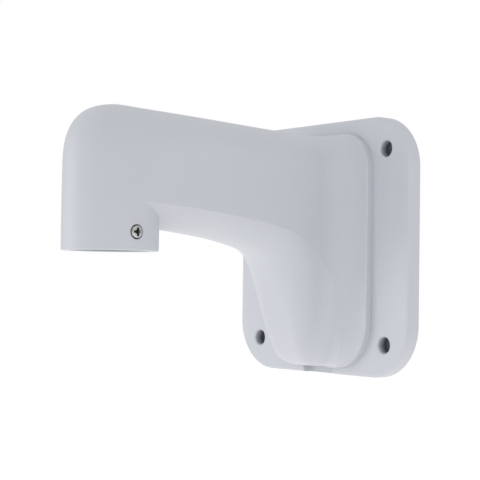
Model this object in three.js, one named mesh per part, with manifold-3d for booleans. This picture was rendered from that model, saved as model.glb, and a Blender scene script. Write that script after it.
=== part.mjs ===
// Wall bracket for a pan-tilt-zoom camera: a hollow gooseneck arm on a square wall plate.
// Millimetres. Origin at the centre of the plate's back face: the wall is y = 0, the arm
// reaches towards -Y, X is to the right as seen from behind the plate, and Z is up.
import * as THREE from 'three';
import { mergeVertices } from 'three/addons/utils/BufferGeometryUtils.js';
import Module from 'manifold-3d';

const wasm = await Module();
wasm.setup();

// ---- driving dimensions -------------------------------------------------------------
const GAP = 0.3; // clearance kept between pieces that touch on the real bracket

const PLATE = {
  width: 174, height: 173, corner: 35, thickness: 10, frontEdge: 2.4, web: 4.5,
  rim: 12, holeSpacing: 129, holeRadius: 3.4, counterbore: 5.3, counterboreDepth: 7,
  bossRadius: 10, openHalfWidth: 24, openLow: -50, openHigh: 62, openCorner: 12, openWall: 4,
};
const CHANNEL = { halfWidth: 15, depth: 6, blockHalfWidth: 19 };
const GASKET = { inset: 3.2, width: 5, depth: 2.6 };

const NECK = { axisY: -181, radius: 30, bottom: -6.8, domeBase: 47.2, domeHeight: 36,
  squareness: 2.55, bore: 23.9, boreTop: 15, shoulder: 20, shoulderTop: 19, inside: 25.3 };
const FOOT = { halfWidth: 53, top: 76.8, bottom: -81.8, topCorner: 25, bottomCorner: 32,
  front: -15.2, back: -PLATE.thickness - GAP, edge: 1 };
const FLAT = FOOT.halfWidth - FOOT.bottomCorner; // half the foot's straight bottom edge
const FLARE = { start: -34.2 };
const WALL = 4.5;

const SEAL = { inset: 4.6, width: 3, depth: 1.8 };
const FOOT_SCREW = { topX: 34, topZ: 56, bottomX: 31, bottomZ: -60, shank: 2.4, head: 4.7,
  headHeight: 2.9, washer: 4.3, washerHeight: 1.2, length: 12, holeEnd: -17.2 };
const LOCK_SCREW = { z: 4.3, shank: 1.9, head: 3.95, headHeight: 2.6, length: 8, washer: 4,
  washerHeight: 0.9, counterbore: 4.7, floor: 27 };
const HOOK = { y: -150, width: 14, thickness: 2, drop: 24, reach: 16, eye: 4, bossRadius: 6,
  bossDrop: 6 };

// ---- small tools --------------------------------------------------------------------
// A closed geometry with its shared corners merged, as a solid that can be cut and joined.
function solid(geometry) {
  const bare = geometry.clone();
  bare.deleteAttribute('normal');
  bare.deleteAttribute('uv');
  const merged = mergeVertices(bare, 1e-4);
  return new wasm.Manifold(new wasm.Mesh({
    numProp: 3,
    vertProperties: new Float32Array(merged.attributes.position.array),
    triVerts: new Uint32Array(merged.index.array),
  }));
}

function geometryOf(body) {
  const mesh = body.getMesh();
  const geometry = new THREE.BufferGeometry();
  geometry.setAttribute('position', new THREE.BufferAttribute(mesh.vertProperties, 3));
  geometry.setIndex(new THREE.BufferAttribute(mesh.triVerts, 1));
  geometry.computeVertexNormals();
  return geometry;
}

// A shape drawn in X and Z, thickened from its back face at y = back to its front at y = front.
function slab(shape, back, front, curveSegments = 6) {
  const geometry = new THREE.ExtrudeGeometry(shape, {
    depth: back - front, bevelEnabled: false, curveSegments,
  });
  return geometry.rotateX(Math.PI / 2).translate(0, back, 0);
}

function cylinderY(radius, back, front, x, z, segments = 24) {
  const geometry = new THREE.CylinderGeometry(radius, radius, back - front, segments);
  return geometry.translate(x, (back + front) / 2, z);
}

function cylinderX(radius, from, to, y, z, segments = 24) {
  const geometry = new THREE.CylinderGeometry(radius, radius, Math.abs(to - from), segments);
  return geometry.rotateZ(Math.PI / 2).translate((from + to) / 2, y, z);
}

function box(low, high) {
  const size = high.map((value, i) => value - low[i]);
  const middle = high.map((value, i) => (value + low[i]) / 2);
  return new THREE.BoxGeometry(...size).translate(...middle);
}

// A rectangle with its own corner radius at the top and at the bottom, each a quarter circle.
function roundedOutline(halfWidth, low, high, topCorner, bottomCorner = topCorner) {
  const shape = new THREE.Shape();
  shape.moveTo(-halfWidth + bottomCorner, low);
  shape.lineTo(halfWidth - bottomCorner, low);
  shape.absarc(halfWidth - bottomCorner, low + bottomCorner, bottomCorner, -Math.PI / 2, 0);
  shape.lineTo(halfWidth, high - topCorner);
  shape.absarc(halfWidth - topCorner, high - topCorner, topCorner, 0, Math.PI / 2);
  shape.lineTo(-halfWidth + topCorner, high);
  shape.absarc(-halfWidth + topCorner, high - topCorner, topCorner, Math.PI / 2, Math.PI);
  shape.lineTo(-halfWidth, low + bottomCorner);
  shape.absarc(-halfWidth + bottomCorner, low + bottomCorner, bottomCorner, Math.PI, 1.5 * Math.PI);
  return shape;
}

// A flat ring between two rounded outlines, one set inside the other.
function ringSlab(halfWidth, low, high, top, bottom, width, back, front) {
  const shape = roundedOutline(halfWidth, low, high, top, bottom);
  shape.holes.push(roundedOutline(halfWidth - width, low + width, high - width,
    top - width, bottom - width));
  return slab(shape, back, front);
}

// A smooth curve through stations [y, value] that never overshoots them (monotone cubic).
function smoothCurve(stations) {
  const slopes = stations.slice(1).map((p, i) => (p[1] - stations[i][1]) / (p[0] - stations[i][0]));
  const tangents = stations.map((p, i) => {
    if (i === 0) return slopes[0];
    if (i === stations.length - 1) return slopes[i - 1];
    const product = slopes[i - 1] * slopes[i];
    return product <= 0 ? 0 : (2 * product) / (slopes[i - 1] + slopes[i]);
  });
  return (y) => {
    const last = stations.length - 2;
    let i = stations.findIndex((p, k) => k > 0 && y <= p[0]) - 1;
    if (i < 0) i = y < stations[0][0] ? 0 : last;
    const span = stations[i + 1][0] - stations[i][0];
    const t = THREE.MathUtils.clamp((y - stations[i][0]) / span, 0, 1);
    const a = stations[i][1];
    const b = stations[i + 1][1];
    return a * (1 + 2 * t) * (1 - t) ** 2 + tangents[i] * span * t * (1 - t) ** 2
      + b * t * t * (3 - 2 * t) + tangents[i + 1] * span * t * t * (t - 1);
  };
}

// A skin from rings of equal length, closed at both ends by a fan about each end's centre.
function skin(rings) {
  const count = rings[0].length;
  const centre = (ring) => ring.reduce((sum, p) => sum.add(p), new THREE.Vector3())
    .divideScalar(count);
  const points = [...rings.flat(), centre(rings[0]), centre(rings[rings.length - 1])];
  const index = [];
  for (let r = 0; r < rings.length - 1; r++) {
    for (let c = 0; c < count; c++) {
      const a = r * count + c;
      const b = r * count + ((c + 1) % count);
      index.push(a, b, b + count, a, b + count, a + count);
    }
  }
  const end = (rings.length - 1) * count;
  for (let c = 0; c < count; c++) {
    const next = (c + 1) % count;
    index.push(points.length - 2, next, c);
    index.push(points.length - 1, end + c, end + next);
  }
  const geometry = new THREE.BufferGeometry();
  geometry.setAttribute('position', new THREE.Float32BufferAttribute(
    points.flatMap((p) => [p.x, p.y, p.z]), 3));
  geometry.setIndex(index);
  return geometry;
}

// ---- the arm's outer form -----------------------------------------------------------
const END = FOOT.front;
const crestHeight = smoothCurve([[-181, 83.2], [-150, 80.9], [-110, 79], [-64, 76.7],
  [-38, 75.6], [END, 75.8]]);
const crestCorner = smoothCurve([[-181, 30], [-140, 21], [FLARE.start, 21], [END, 24]]);
const crestDrop = smoothCurve([[-181, 36], [-140, 21], [FLARE.start, 21], [END, 24]]);
const crestSquareness = smoothCurve([[-181, NECK.squareness], [-140, 2], [END, 2]]);
const foldHeight = smoothCurve([[-181, 23], [-150, 21.4], [-90, 15], [-64, 10], [-50, 4],
  [-34, -9], [-26.4, -21], [-24.4, -29.5], [-23, -45], [-22.2, -62], [-20.8, -72],
  [-18.5, -78.5], [END, FOOT.bottom + FOOT.edge]]);
const bellyHeight = smoothCurve([[-181, 10], [-151, 8.2], [-104, 3.1], [-84, -0.9], [-74, -3.5],
  [-66, -8.2], [-58, -18.9], [-50, -38.4], [-42, -62.9], [-34, -76.9], [-25, -80.6],
  [END, FOOT.bottom + FOOT.edge]]);
const bellyCorner = smoothCurve([[-181, 1], [-60, 0.88], [-45, 0.66], [-30, 0.75], [END, 0.6]]);
const bellyAngle = smoothCurve([[-181, 0.3], [-100, 0.31], [-60, 0.33], [-34, 0.36],
  [END, 0.42]]);

// Half the width: straight as far as the flare, then a quarter ellipse out to the foot's edge.
function halfWidth(y) {
  if (y <= FLARE.start) return NECK.radius;
  const t = Math.min((y - FLARE.start) / (END - FLARE.start), 1);
  return NECK.radius + (FOOT.halfWidth - FOOT.edge - NECK.radius) * (1 - Math.sqrt(1 - t * t));
}

// Half the width at a height: the side draws in round the foot's lower corner.
function sideAt(y, z, grow = 0) {
  const corner = halfWidth(y) + grow - FLAT;
  const low = FOOT.bottom + FOOT.edge - grow;
  const drop = THREE.MathUtils.clamp(low + corner - z, 0, corner);
  return FLAT + Math.sqrt(corner * corner - drop * drop);
}

// The belly hangs below the fold line as an arc that turns through bellyAngle (in half turns).
function bellyAt(x, y) {
  const w = sideAt(y, foldHeight(y));
  const corner = bellyCorner(y) * w;
  const across = THREE.MathUtils.clamp((Math.abs(x) - w + corner) / corner, 0, 1);
  const angle = bellyAngle(y) * Math.PI;
  const turned = Math.asin(across * Math.sin(angle));
  const share = (Math.cos(turned) - Math.cos(angle)) / (1 - Math.cos(angle));
  return foldHeight(y) + (bellyHeight(y) - foldHeight(y)) * share;
}

// Evenly spaced points along a polyline of [x, h] pairs.
function respaced(points, count) {
  const lengths = [0];
  for (let i = 1; i < points.length; i++) {
    lengths.push(lengths[i - 1] + Math.hypot(points[i][0] - points[i - 1][0],
      points[i][1] - points[i - 1][1]));
  }
  const total = lengths[lengths.length - 1];
  return Array.from({ length: count + 1 }, (_, k) => {
    const target = (total * k) / count;
    const i = Math.max(1, lengths.findIndex((value) => value >= target - 1e-9));
    const t = (target - lengths[i - 1]) / (lengths[i] - lengths[i - 1] || 1);
    return points[i - 1].map((value, axis) => value + t * (points[i][axis] - value));
  });
}

const UPPER = 16; // steps from the crest round to the fold line
const LOWER = 8; // steps from the fold line round to the lowest point

// The neck's radius at a height: a plain cylinder under a dome a little squarer than a ball.
function neckRadius(z) {
  const t = THREE.MathUtils.clamp((z - NECK.domeBase) / NECK.domeHeight, 0, 1);
  return NECK.radius * (1 - t ** NECK.squareness) ** (1 / NECK.squareness);
}

// How far a tilted line from the neck's axis runs before it leaves the neck or its dome.
function reachAlong(foldZ, tilt) {
  let inside = 0;
  let outside = 200;
  for (let k = 0; k < 40; k++) {
    const middle = (inside + outside) / 2;
    const left = neckRadius(foldZ + middle * Math.sin(tilt)) - middle * Math.cos(tilt);
    if (left > 1e-9) inside = middle;
    else outside = middle;
  }
  return inside;
}

// Upper half of a tilted section through the neck and its domed top, as [x, height] pairs.
function domedHalf(foldZ, tilt) {
  const reach = reachAlong(foldZ, tilt);
  const points = Array.from({ length: 65 }, (_, k) => {
    const h = reach * Math.cos((k / 64) * (Math.PI / 2));
    const across = neckRadius(foldZ + h * Math.sin(tilt)) ** 2 - (h * Math.cos(tilt)) ** 2;
    return [k === 0 ? 0 : Math.sqrt(Math.max(across, 0)), h];
  });
  return respaced(points, UPPER);
}

// Upper half of an upright section of the arm: flat crest, eased corner, then down the side.
function boxedHalf(side, crest, corner, drop, squareness, fold) {
  const w = side(crest);
  const points = [[0, crest]];
  for (let k = 0; k <= 16; k++) {
    const turn = (k / 16) * (Math.PI / 2);
    const ease = (value) => Math.max(value, 0) ** (2 / squareness);
    points.push([w - corner * (1 - ease(Math.sin(turn))), crest - drop * (1 - ease(Math.cos(turn)))]);
  }
  const shoulder = crest - drop;
  for (let k = 1; k <= 40; k++) {
    const z = shoulder + (fold - shoulder) * (k / 40);
    points.push([side(z), z]);
  }
  return respaced(points, UPPER);
}

// A full ring from its right half, crest first; the left half mirrors it.
function mirrored(half) {
  const left = half.slice(1, -1).reverse().map((p) => new THREE.Vector3(-p.x, p.y, p.z));
  return [...half, ...left];
}

const lowerAngle = (k) => (k / LOWER) * (Math.PI / 2);
const backOfNeck = (k) => NECK.axisY + NECK.radius * Math.sin(lowerAngle(k));

function neckRing(share) {
  const foldTop = foldHeight(NECK.axisY);
  const foldZ = NECK.bottom + (foldTop - NECK.bottom) * share;
  const tilt = (Math.PI / 2) * share ** 1.35;
  const half = domedHalf(foldZ, tilt).map(([x, h]) => new THREE.Vector3(
    x, NECK.axisY - h * Math.cos(tilt), foldZ + h * Math.sin(tilt)));
  for (let k = 1; k <= LOWER; k++) {
    const x = NECK.radius * Math.cos(lowerAngle(k));
    const crease = bellyAt(x, backOfNeck(k));
    const z = NECK.bottom + (crease - NECK.bottom) * share;
    half.push(new THREE.Vector3(x, backOfNeck(k), z));
  }
  return mirrored(half);
}

function armRing(y, grow = 0, drawY = y) {
  const side = (z) => sideAt(y, z, grow);
  const half = boxedHalf(side, crestHeight(y) + grow, crestCorner(y) + grow,
    crestDrop(y) + grow, crestSquareness(y), foldHeight(y) - grow).map(
    ([x, z]) => new THREE.Vector3(x, drawY, z));
  const ease = 1 - THREE.MathUtils.smoothstep(y, NECK.axisY, -105);
  for (let k = 1; k <= LOWER; k++) {
    const x = sideAt(y, foldHeight(y)) * Math.cos(lowerAngle(k));
    const there = y + (backOfNeck(k) - NECK.axisY) * ease;
    half.push(new THREE.Vector3(x, drawY + there - y, bellyAt(x, there) - grow));
  }
  return mirrored(half);
}

function outerArm() {
  const rings = [];
  for (let k = 0; k < 14; k++) rings.push(neckRing(k / 14));
  const straight = [-181, -170, -160, -150, -138, -124, -110, -98, -88, -80, -74, -69, -64];
  const scoop = [-60, -56.5, -53, -49, -45, -40, -34.2, -30, -26.4, -24.8, -23.7, -22.8, -22,
    -20.8, -19, -17, -15.8];
  rings.push(...[...straight, ...scoop].map((y) => armRing(y)));
  for (let k = 0; k <= 3; k++) {
    const turn = (k / 3) * (Math.PI / 2);
    rings.push(armRing(END, FOOT.edge * Math.sin(turn), END + FOOT.edge * (1 - Math.cos(turn))));
  }
  rings.push(armRing(END, FOOT.edge, FOOT.back));
  return solid(skin(rings));
}

// The passage through the arm follows the outside, one wall thickness in.
function innerRing(y, drawY = y) {
  const w = NECK.radius - WALL;
  const side = () => w;
  const crest = crestHeight(y) - WALL;
  const fold = Math.max(foldHeight(y - WALL) + 3, PLATE.openLow + PLATE.openCorner);
  const half = boxedHalf(side, crest, crestCorner(y) - WALL, crestDrop(y) - WALL,
    crestSquareness(y), fold).map(([x, z]) => new THREE.Vector3(x, drawY, z));
  const floor = Math.max(bellyHeight(y - WALL) + WALL - 0.5, PLATE.openLow - 2);
  for (let k = 1; k <= LOWER; k++) {
    const drop = (floor - fold) * Math.sin(lowerAngle(k));
    half.push(new THREE.Vector3(w * Math.cos(lowerAngle(k)), drawY, fold + drop));
  }
  return mirrored(half);
}

function passage() {
  const stations = [-181, -150, -110, -88, -76, -68, -61, -55, -48, -40, -30];
  const rings = stations.map((y) => innerRing(y));
  rings.push(innerRing(-24, FOOT.back + 1));
  return solid(skin(rings));
}

// The neck's bore is stepped: thread, shoulder for the seal, then a domed chamber.
function neckBore() {
  const profile = [[0, NECK.bottom - 1], [NECK.bore, NECK.bottom - 1],
    [NECK.bore, NECK.boreTop], [NECK.shoulder, NECK.boreTop],
    [NECK.shoulder, NECK.shoulderTop], [NECK.inside, NECK.shoulderTop],
    [NECK.inside, NECK.domeBase]].map(([r, z]) => new THREE.Vector2(r, z));
  for (let k = 1; k <= 6; k++) {
    const turn = (k / 6) * (Math.PI / 2);
    profile.push(new THREE.Vector2(k === 6 ? 0 : NECK.inside * Math.cos(turn),
      NECK.domeBase + (NECK.domeHeight - WALL) * Math.sin(turn)));
  }
  const lathe = new THREE.LatheGeometry(profile, 36);
  return solid(lathe.rotateX(Math.PI / 2).translate(0, NECK.axisY, 0));
}

const footScrewPlaces = [
  [FOOT_SCREW.topX, FOOT_SCREW.topZ], [-FOOT_SCREW.topX, FOOT_SCREW.topZ],
  [-FOOT_SCREW.bottomX, FOOT_SCREW.bottomZ], [FOOT_SCREW.bottomX, FOOT_SCREW.bottomZ]];

function armCasting() {
  const roof = crestHeight(HOOK.y) - WALL;
  const hookBoss = new THREE.CylinderGeometry(HOOK.bossRadius, HOOK.bossRadius, HOOK.bossDrop + 1, 20)
    .rotateX(Math.PI / 2).translate(0, HOOK.y, roof + 0.5 - HOOK.bossDrop / 2);
  const hookHole = new THREE.CylinderGeometry(2.4, 2.4, HOOK.bossDrop + 1, 16)
    .rotateX(Math.PI / 2).translate(0, HOOK.y, roof - HOOK.bossDrop / 2 - 0.5);
  let body = outerArm().subtract(passage()).subtract(neckBore());
  body = body.add(solid(hookBoss)).subtract(solid(hookHole));
  for (const side of [-1, 1]) {
    const place = [NECK.axisY, LOCK_SCREW.z];
    body = body.subtract(solid(cylinderX(LOCK_SCREW.shank + GAP, side * 20, side * 31, ...place, 16)));
    body = body.subtract(solid(cylinderX(LOCK_SCREW.counterbore, side * LOCK_SCREW.floor,
      side * 31, ...place)));
  }
  for (const [x, z] of footScrewPlaces) {
    const hole = cylinderY(FOOT_SCREW.shank + GAP, FOOT.back + 1, FOOT_SCREW.holeEnd, x, z, 14);
    body = body.subtract(solid(hole));
  }
  const groove = ringSlab(FOOT.halfWidth - SEAL.inset, FOOT.bottom + SEAL.inset,
    FOOT.top - SEAL.inset, FOOT.topCorner - SEAL.inset, FOOT.bottomCorner - SEAL.inset,
    SEAL.width, FOOT.back + 1, FOOT.back - SEAL.depth);
  body = body.subtract(solid(groove));
  return geometryOf(body.subtract(solid(cableArch())));
}

// A shallow arch in the foot's lower edge, over the plate's cable channel.
function cableArch() {
  const shape = new THREE.Shape();
  shape.moveTo(-CHANNEL.halfWidth - 2, FOOT.bottom - 1);
  shape.lineTo(CHANNEL.halfWidth + 2, FOOT.bottom - 1);
  shape.lineTo(CHANNEL.halfWidth - 4, -79.2);
  shape.lineTo(-CHANNEL.halfWidth + 4, -79.2);
  return slab(shape, FOOT.back + 1, FOOT.front - 1);
}

// ---- the wall plate -----------------------------------------------------------------
const wallHolePlaces = [[1, 1], [-1, 1], [-1, -1], [1, -1]]
  .map(([x, z]) => [(x * PLATE.holeSpacing) / 2, (z * PLATE.holeSpacing) / 2]);

function plateOutline(inset) {
  const half = PLATE.height / 2 - inset;
  return roundedOutline(PLATE.width / 2 - inset, -half, half, PLATE.corner - inset);
}

// The plate's outside: a straight edge, then a rounded front edge in three steps.
function plateBlank() {
  const r = PLATE.frontEdge;
  let body = solid(slab(plateOutline(0), 0, r - PLATE.thickness, 8));
  for (let k = 0; k < 3; k++) {
    const turn = ((k + 1) / 3) * (Math.PI / 2);
    const before = (k / 3) * (Math.PI / 2);
    const back = r - PLATE.thickness - r * Math.sin(before);
    const front = r - PLATE.thickness - r * Math.sin(turn);
    const inset = r * (1 - Math.cos((turn + before) / 2));
    body = body.add(solid(slab(plateOutline(inset), back + 0.1, front, 8)));
  }
  return body;
}

// The hollow in the plate's back, between its rim, its bosses and the wall round its opening.
function backPocket() {
  const depth = PLATE.thickness - PLATE.web;
  const half = PLATE.height / 2 - PLATE.rim;
  let pocket = solid(slab(roundedOutline(PLATE.width / 2 - PLATE.rim, -half, half,
    PLATE.corner - PLATE.rim), 1, -depth, 6));
  const collar = slab(roundedOutline(PLATE.openHalfWidth + PLATE.openWall,
    PLATE.openLow - PLATE.openWall, PLATE.openHigh + PLATE.openWall,
    PLATE.openCorner + PLATE.openWall), 2, -depth - 1, 4);
  pocket = pocket.subtract(solid(collar));
  for (const [x, z] of wallHolePlaces) {
    pocket = pocket.subtract(solid(cylinderY(PLATE.bossRadius, 2, -depth - 1, x, z, 24)));
  }
  pocket = pocket.subtract(solid(box([-CHANNEL.blockHalfWidth, -depth - 1, -half - 1],
    [CHANNEL.blockHalfWidth, 2, PLATE.openLow])));
  for (const z of [-28, 6, 40]) {
    for (const side of [-1, 1]) {
      const ends = [side * PLATE.openHalfWidth, side * (PLATE.width / 2)];
      pocket = pocket.subtract(solid(box([Math.min(...ends), -depth - 1, z - 1.25],
        [Math.max(...ends), -0.8, z + 1.25])));
    }
  }
  for (const x of [-12, 12]) {
    pocket = pocket.subtract(solid(box([x - 1.25, -depth - 1, PLATE.openHigh],
      [x + 1.25, -0.8, half + 1])));
  }
  return pocket;
}

function wallPlate() {
  const deep = PLATE.thickness + 1;
  let body = plateBlank().subtract(backPocket());
  body = body.subtract(solid(slab(roundedOutline(PLATE.openHalfWidth, PLATE.openLow,
    PLATE.openHigh, PLATE.openCorner), 1, -deep, 4)));
  body = body.subtract(solid(box(
    [-CHANNEL.halfWidth, -deep, -PLATE.height / 2 - 1],
    [CHANNEL.halfWidth, CHANNEL.depth - PLATE.thickness, PLATE.openLow + 2])));
  for (const [x, z] of wallHolePlaces) {
    body = body.subtract(solid(cylinderY(PLATE.holeRadius, 1, -deep, x, z, 20)));
    body = body.subtract(solid(cylinderY(PLATE.counterbore,
      PLATE.counterboreDepth - PLATE.thickness, -deep, x, z, 28)));
  }
  for (const [x, z] of footScrewPlaces) {
    body = body.subtract(solid(cylinderY(FOOT_SCREW.shank + GAP, 1, -deep, x, z, 14)));
  }
  return geometryOf(body.subtract(solid(gasketRing(GAP, 1))));
}

function gasketRing(gap, back) {
  const outer = GASKET.inset - gap;
  const half = PLATE.height / 2 - outer;
  const corner = PLATE.corner - outer;
  return ringSlab(PLATE.width / 2 - outer, -half, half, corner, corner,
    GASKET.width + 2 * gap, back, -GASKET.depth - gap);
}

// ---- seals, screws and inner fittings -------------------------------------------------
function footSeal() {
  const outer = SEAL.inset + GAP;
  return ringSlab(FOOT.halfWidth - outer, FOOT.bottom + outer, FOOT.top - outer,
    FOOT.topCorner - outer, FOOT.bottomCorner - outer, SEAL.width - 2 * GAP,
    FOOT.back, FOOT.back - SEAL.depth + GAP);
}

// A plug that fills the cable channel, with a part-cut way for a cable through its middle.
function cableEntryPlug() {
  const w = CHANNEL.halfWidth - GAP;
  const front = GAP - PLATE.thickness;
  const back = CHANNEL.depth - PLATE.thickness - GAP;
  const block = solid(box([-w, front, -75], [w, back, -63]));
  const lug = solid(box([-w + 3, front + 1.2, -77.5], [w - 3, back - 1.2, -75 + 0.1]));
  const way = new THREE.CylinderGeometry(1.4, 1.4, 20, 16).rotateX(Math.PI / 2);
  return geometryOf(block.add(lug).subtract(solid(way.translate(0, (front + back) / 2, -70))));
}

// A pan-head screw along +Y, its seat at y = 0 and its point at y = -length.
function panHeadScrew(shank, head, headHeight, length, crossDepth = 1.6) {
  const profile = [[0, -length], [shank * 0.7, -length], [shank, -length + 0.6], [shank, 0],
    [head, 0], [head, headHeight * 0.45], [head * 0.8, headHeight * 0.85], [0, headHeight]]
    .map(([r, y]) => new THREE.Vector2(r, y));
  let body = solid(new THREE.LatheGeometry(profile, 14));
  for (const turn of [0, Math.PI / 2]) {
    const slot = new THREE.BoxGeometry(head * 1.05, crossDepth, head * 0.2).rotateY(turn)
      .translate(0, headHeight - crossDepth / 2 + 0.2, 0);
    body = body.subtract(solid(slot));
  }
  return geometryOf(body);
}

function washer(inner, outer, height, segments = 16) {
  const profile = [[inner, 0], [outer, 0], [outer, height], [inner, height], [inner, 0]]
    .map(([r, y]) => new THREE.Vector2(r, y));
  return new THREE.LatheGeometry(profile, segments);
}

function neckSeal() {
  const low = NECK.boreTop - GAP - 2.4;
  return washer(NECK.shoulder + GAP, NECK.bore - GAP, 2.4, 32).rotateX(Math.PI / 2)
    .translate(0, NECK.axisY, low);
}

// A bent steel tab: its foot lies under the boss, its drop carries the lanyard's eye.
function lanyardHook() {
  const top = crestHeight(HOOK.y) - WALL - HOOK.bossDrop - GAP;
  const w = HOOK.width / 2;
  const low = top - HOOK.drop;
  const near = HOOK.y + 8;
  const drop = near - HOOK.reach;
  let body = solid(box([-w, drop, top - HOOK.thickness], [w, near, top]));
  const tab = roundedOutline(w, low, top, 0.01, w - 0.01);
  body = body.add(solid(slab(tab, drop + HOOK.thickness, drop, 6)));
  body = body.subtract(solid(cylinderY(HOOK.eye, drop + 3, drop - 1, 0, low + w + 1, 20)));
  const screwHole = new THREE.CylinderGeometry(2.7, 2.7, 6, 16).rotateX(Math.PI / 2);
  return geometryOf(body.subtract(solid(screwHole.translate(0, HOOK.y, top - 1))));
}

// ---- assembly -----------------------------------------------------------------------
const finish = {
  powderCoat: { color: 0xe4e6ea, roughness: 0.45, metalness: 0 },
  steel: { color: 0xb9bbbd, roughness: 0.3, metalness: 1 },
  zinc: { color: 0xa9adb0, roughness: 0.38, metalness: 1 },
  rubber: { color: 0x1d1d1f, roughness: 0.8, metalness: 0 },
  greyRubber: { color: 0x8d9094, roughness: 0.75, metalness: 0 },
};

const bracket = new THREE.Group();

function add(name, geometry, look, position = [0, 0, 0], rotation = [0, 0, 0]) {
  const mesh = new THREE.Mesh(geometry, new THREE.MeshStandardMaterial(finish[look]));
  mesh.name = name;
  mesh.position.set(...position);
  mesh.rotation.set(...rotation);
  bracket.add(mesh);
}

add('arm_casting', armCasting(), 'powderCoat');
add('wall_plate', wallPlate(), 'powderCoat');
add('wall_gasket', gasketRing(0, 0), 'rubber');
add('foot_seal', footSeal(), 'rubber');
add('cable_entry_plug', cableEntryPlug(), 'greyRubber');
add('neck_seal', neckSeal(), 'rubber');

const footSeat = -PLATE.thickness + PLATE.web + GAP;
footScrewPlaces.forEach(([x, z], i) => {
  const washerTop = footSeat + FOOT_SCREW.washerHeight;
  add(`foot_screw_washer_${i + 1}`, washer(FOOT_SCREW.shank + GAP, FOOT_SCREW.washer,
    FOOT_SCREW.washerHeight), 'zinc', [x, footSeat, z]);
  add(`foot_screw_${i + 1}`, panHeadScrew(FOOT_SCREW.shank, FOOT_SCREW.head,
    FOOT_SCREW.headHeight, FOOT_SCREW.length), 'steel', [x, washerTop + GAP, z]);
});

for (const [name, side] of [['right', 1], ['left', -1]]) {
  const seat = LOCK_SCREW.floor + GAP;
  const turn = [0, 0, (-side * Math.PI) / 2];
  const head = seat + LOCK_SCREW.washerHeight + GAP;
  add(`lock_washer_${name}`, washer(LOCK_SCREW.shank + GAP, LOCK_SCREW.washer,
    LOCK_SCREW.washerHeight), 'rubber', [side * seat, NECK.axisY, LOCK_SCREW.z], turn);
  add(`lock_screw_${name}`, panHeadScrew(LOCK_SCREW.shank, LOCK_SCREW.head,
    LOCK_SCREW.headHeight, LOCK_SCREW.length, 1.5), 'steel',
  [side * head, NECK.axisY, LOCK_SCREW.z], turn);
}

const hookFoot = crestHeight(HOOK.y) - WALL - HOOK.bossDrop - GAP - HOOK.thickness - GAP;
add('lanyard_hook', lanyardHook(), 'zinc');
add('hook_screw_washer', washer(2.7, 5, 1.2), 'zinc', [0, HOOK.y, hookFoot], [-Math.PI / 2, 0, 0]);
add('hook_screw', panHeadScrew(2.1, 4.7, 2.9, 9), 'steel', [0, HOOK.y, hookFoot - 1.2 - GAP],
  [-Math.PI / 2, 0, 0]);

export default bracket;
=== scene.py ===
"""Wall bracket for a pan-tilt-zoom camera: hollow gooseneck arm, wall plate, seals, screws and hook.

Shapes are worked out in millimetres and put into Blender in metres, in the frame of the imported
model: the wall is y = 0, the arm reaches towards -Y, X runs across the plate and Z is up.
"""
import logging
import math
from dataclasses import dataclass, field
from enum import Enum
from typing import Callable, Sequence

import bmesh
import bpy
import numpy as np
from mathutils import Matrix, Vector


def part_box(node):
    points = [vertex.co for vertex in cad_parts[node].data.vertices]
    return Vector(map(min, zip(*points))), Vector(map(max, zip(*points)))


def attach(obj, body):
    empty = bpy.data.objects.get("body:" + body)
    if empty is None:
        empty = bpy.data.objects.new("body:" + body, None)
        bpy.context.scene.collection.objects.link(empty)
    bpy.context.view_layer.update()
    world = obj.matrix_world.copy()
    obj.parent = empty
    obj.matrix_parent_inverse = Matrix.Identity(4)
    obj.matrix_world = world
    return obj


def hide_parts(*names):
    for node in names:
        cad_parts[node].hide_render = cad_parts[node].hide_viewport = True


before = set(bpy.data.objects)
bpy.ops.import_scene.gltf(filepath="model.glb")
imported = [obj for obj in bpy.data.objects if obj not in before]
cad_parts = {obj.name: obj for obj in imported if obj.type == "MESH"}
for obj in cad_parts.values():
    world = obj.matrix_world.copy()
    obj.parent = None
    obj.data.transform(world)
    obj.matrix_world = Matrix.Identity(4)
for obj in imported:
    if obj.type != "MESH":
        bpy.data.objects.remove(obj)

LOG = logging.getLogger("bracket")
MM = 0.001
Array = np.ndarray
Stations = Sequence[tuple[float, float]]
Colour = tuple[float, float, float]


class Slot(Enum):
    """The material slots, by name."""

    POWDER = "powder_coat"
    STAINLESS = "stainless_steel"
    ZINC = "zinc_plate"
    BLACK_RUBBER = "black_rubber"
    GREY_RUBBER = "grey_rubber"


# ---- curves and outlines ----------------------------------------------------------------


def smooth_curve(stations: Stations, at: Array) -> Array:
    """Read a smooth curve that never overshoots its stations.

    Between two stations it is a cubic whose end slopes are the harmonic mean of the slopes on
    either side, or zero where those have opposite signs.

    Args:
        stations: Pairs of position and value, in rising order of position.
        at: Positions to read.

    Returns:
        The curve's value at each position, held level beyond both ends.
    """
    knots, values = np.array(stations, float).T
    span = np.diff(knots)
    slope = np.diff(values) / span
    product = slope[:-1] * slope[1:]
    total = np.where(product > 0, slope[:-1] + slope[1:], 1.0)
    inner = np.where(product > 0, 2 * product / total, 0.0)
    tangent = np.concatenate([slope[:1], inner, slope[-1:]])
    at = np.asarray(at, float)
    i = np.clip(np.searchsorted(knots, at, side="right") - 1, 0, len(span) - 1)
    t = np.clip((at - knots[i]) / span[i], 0, 1)
    rise = values[i] * (1 + 2 * t) * (1 - t) ** 2 + values[i + 1] * t * t * (3 - 2 * t)
    lean = tangent[i] * t * (1 - t) ** 2 + tangent[i + 1] * t * t * (t - 1)
    return rise + lean * span[i]


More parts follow.
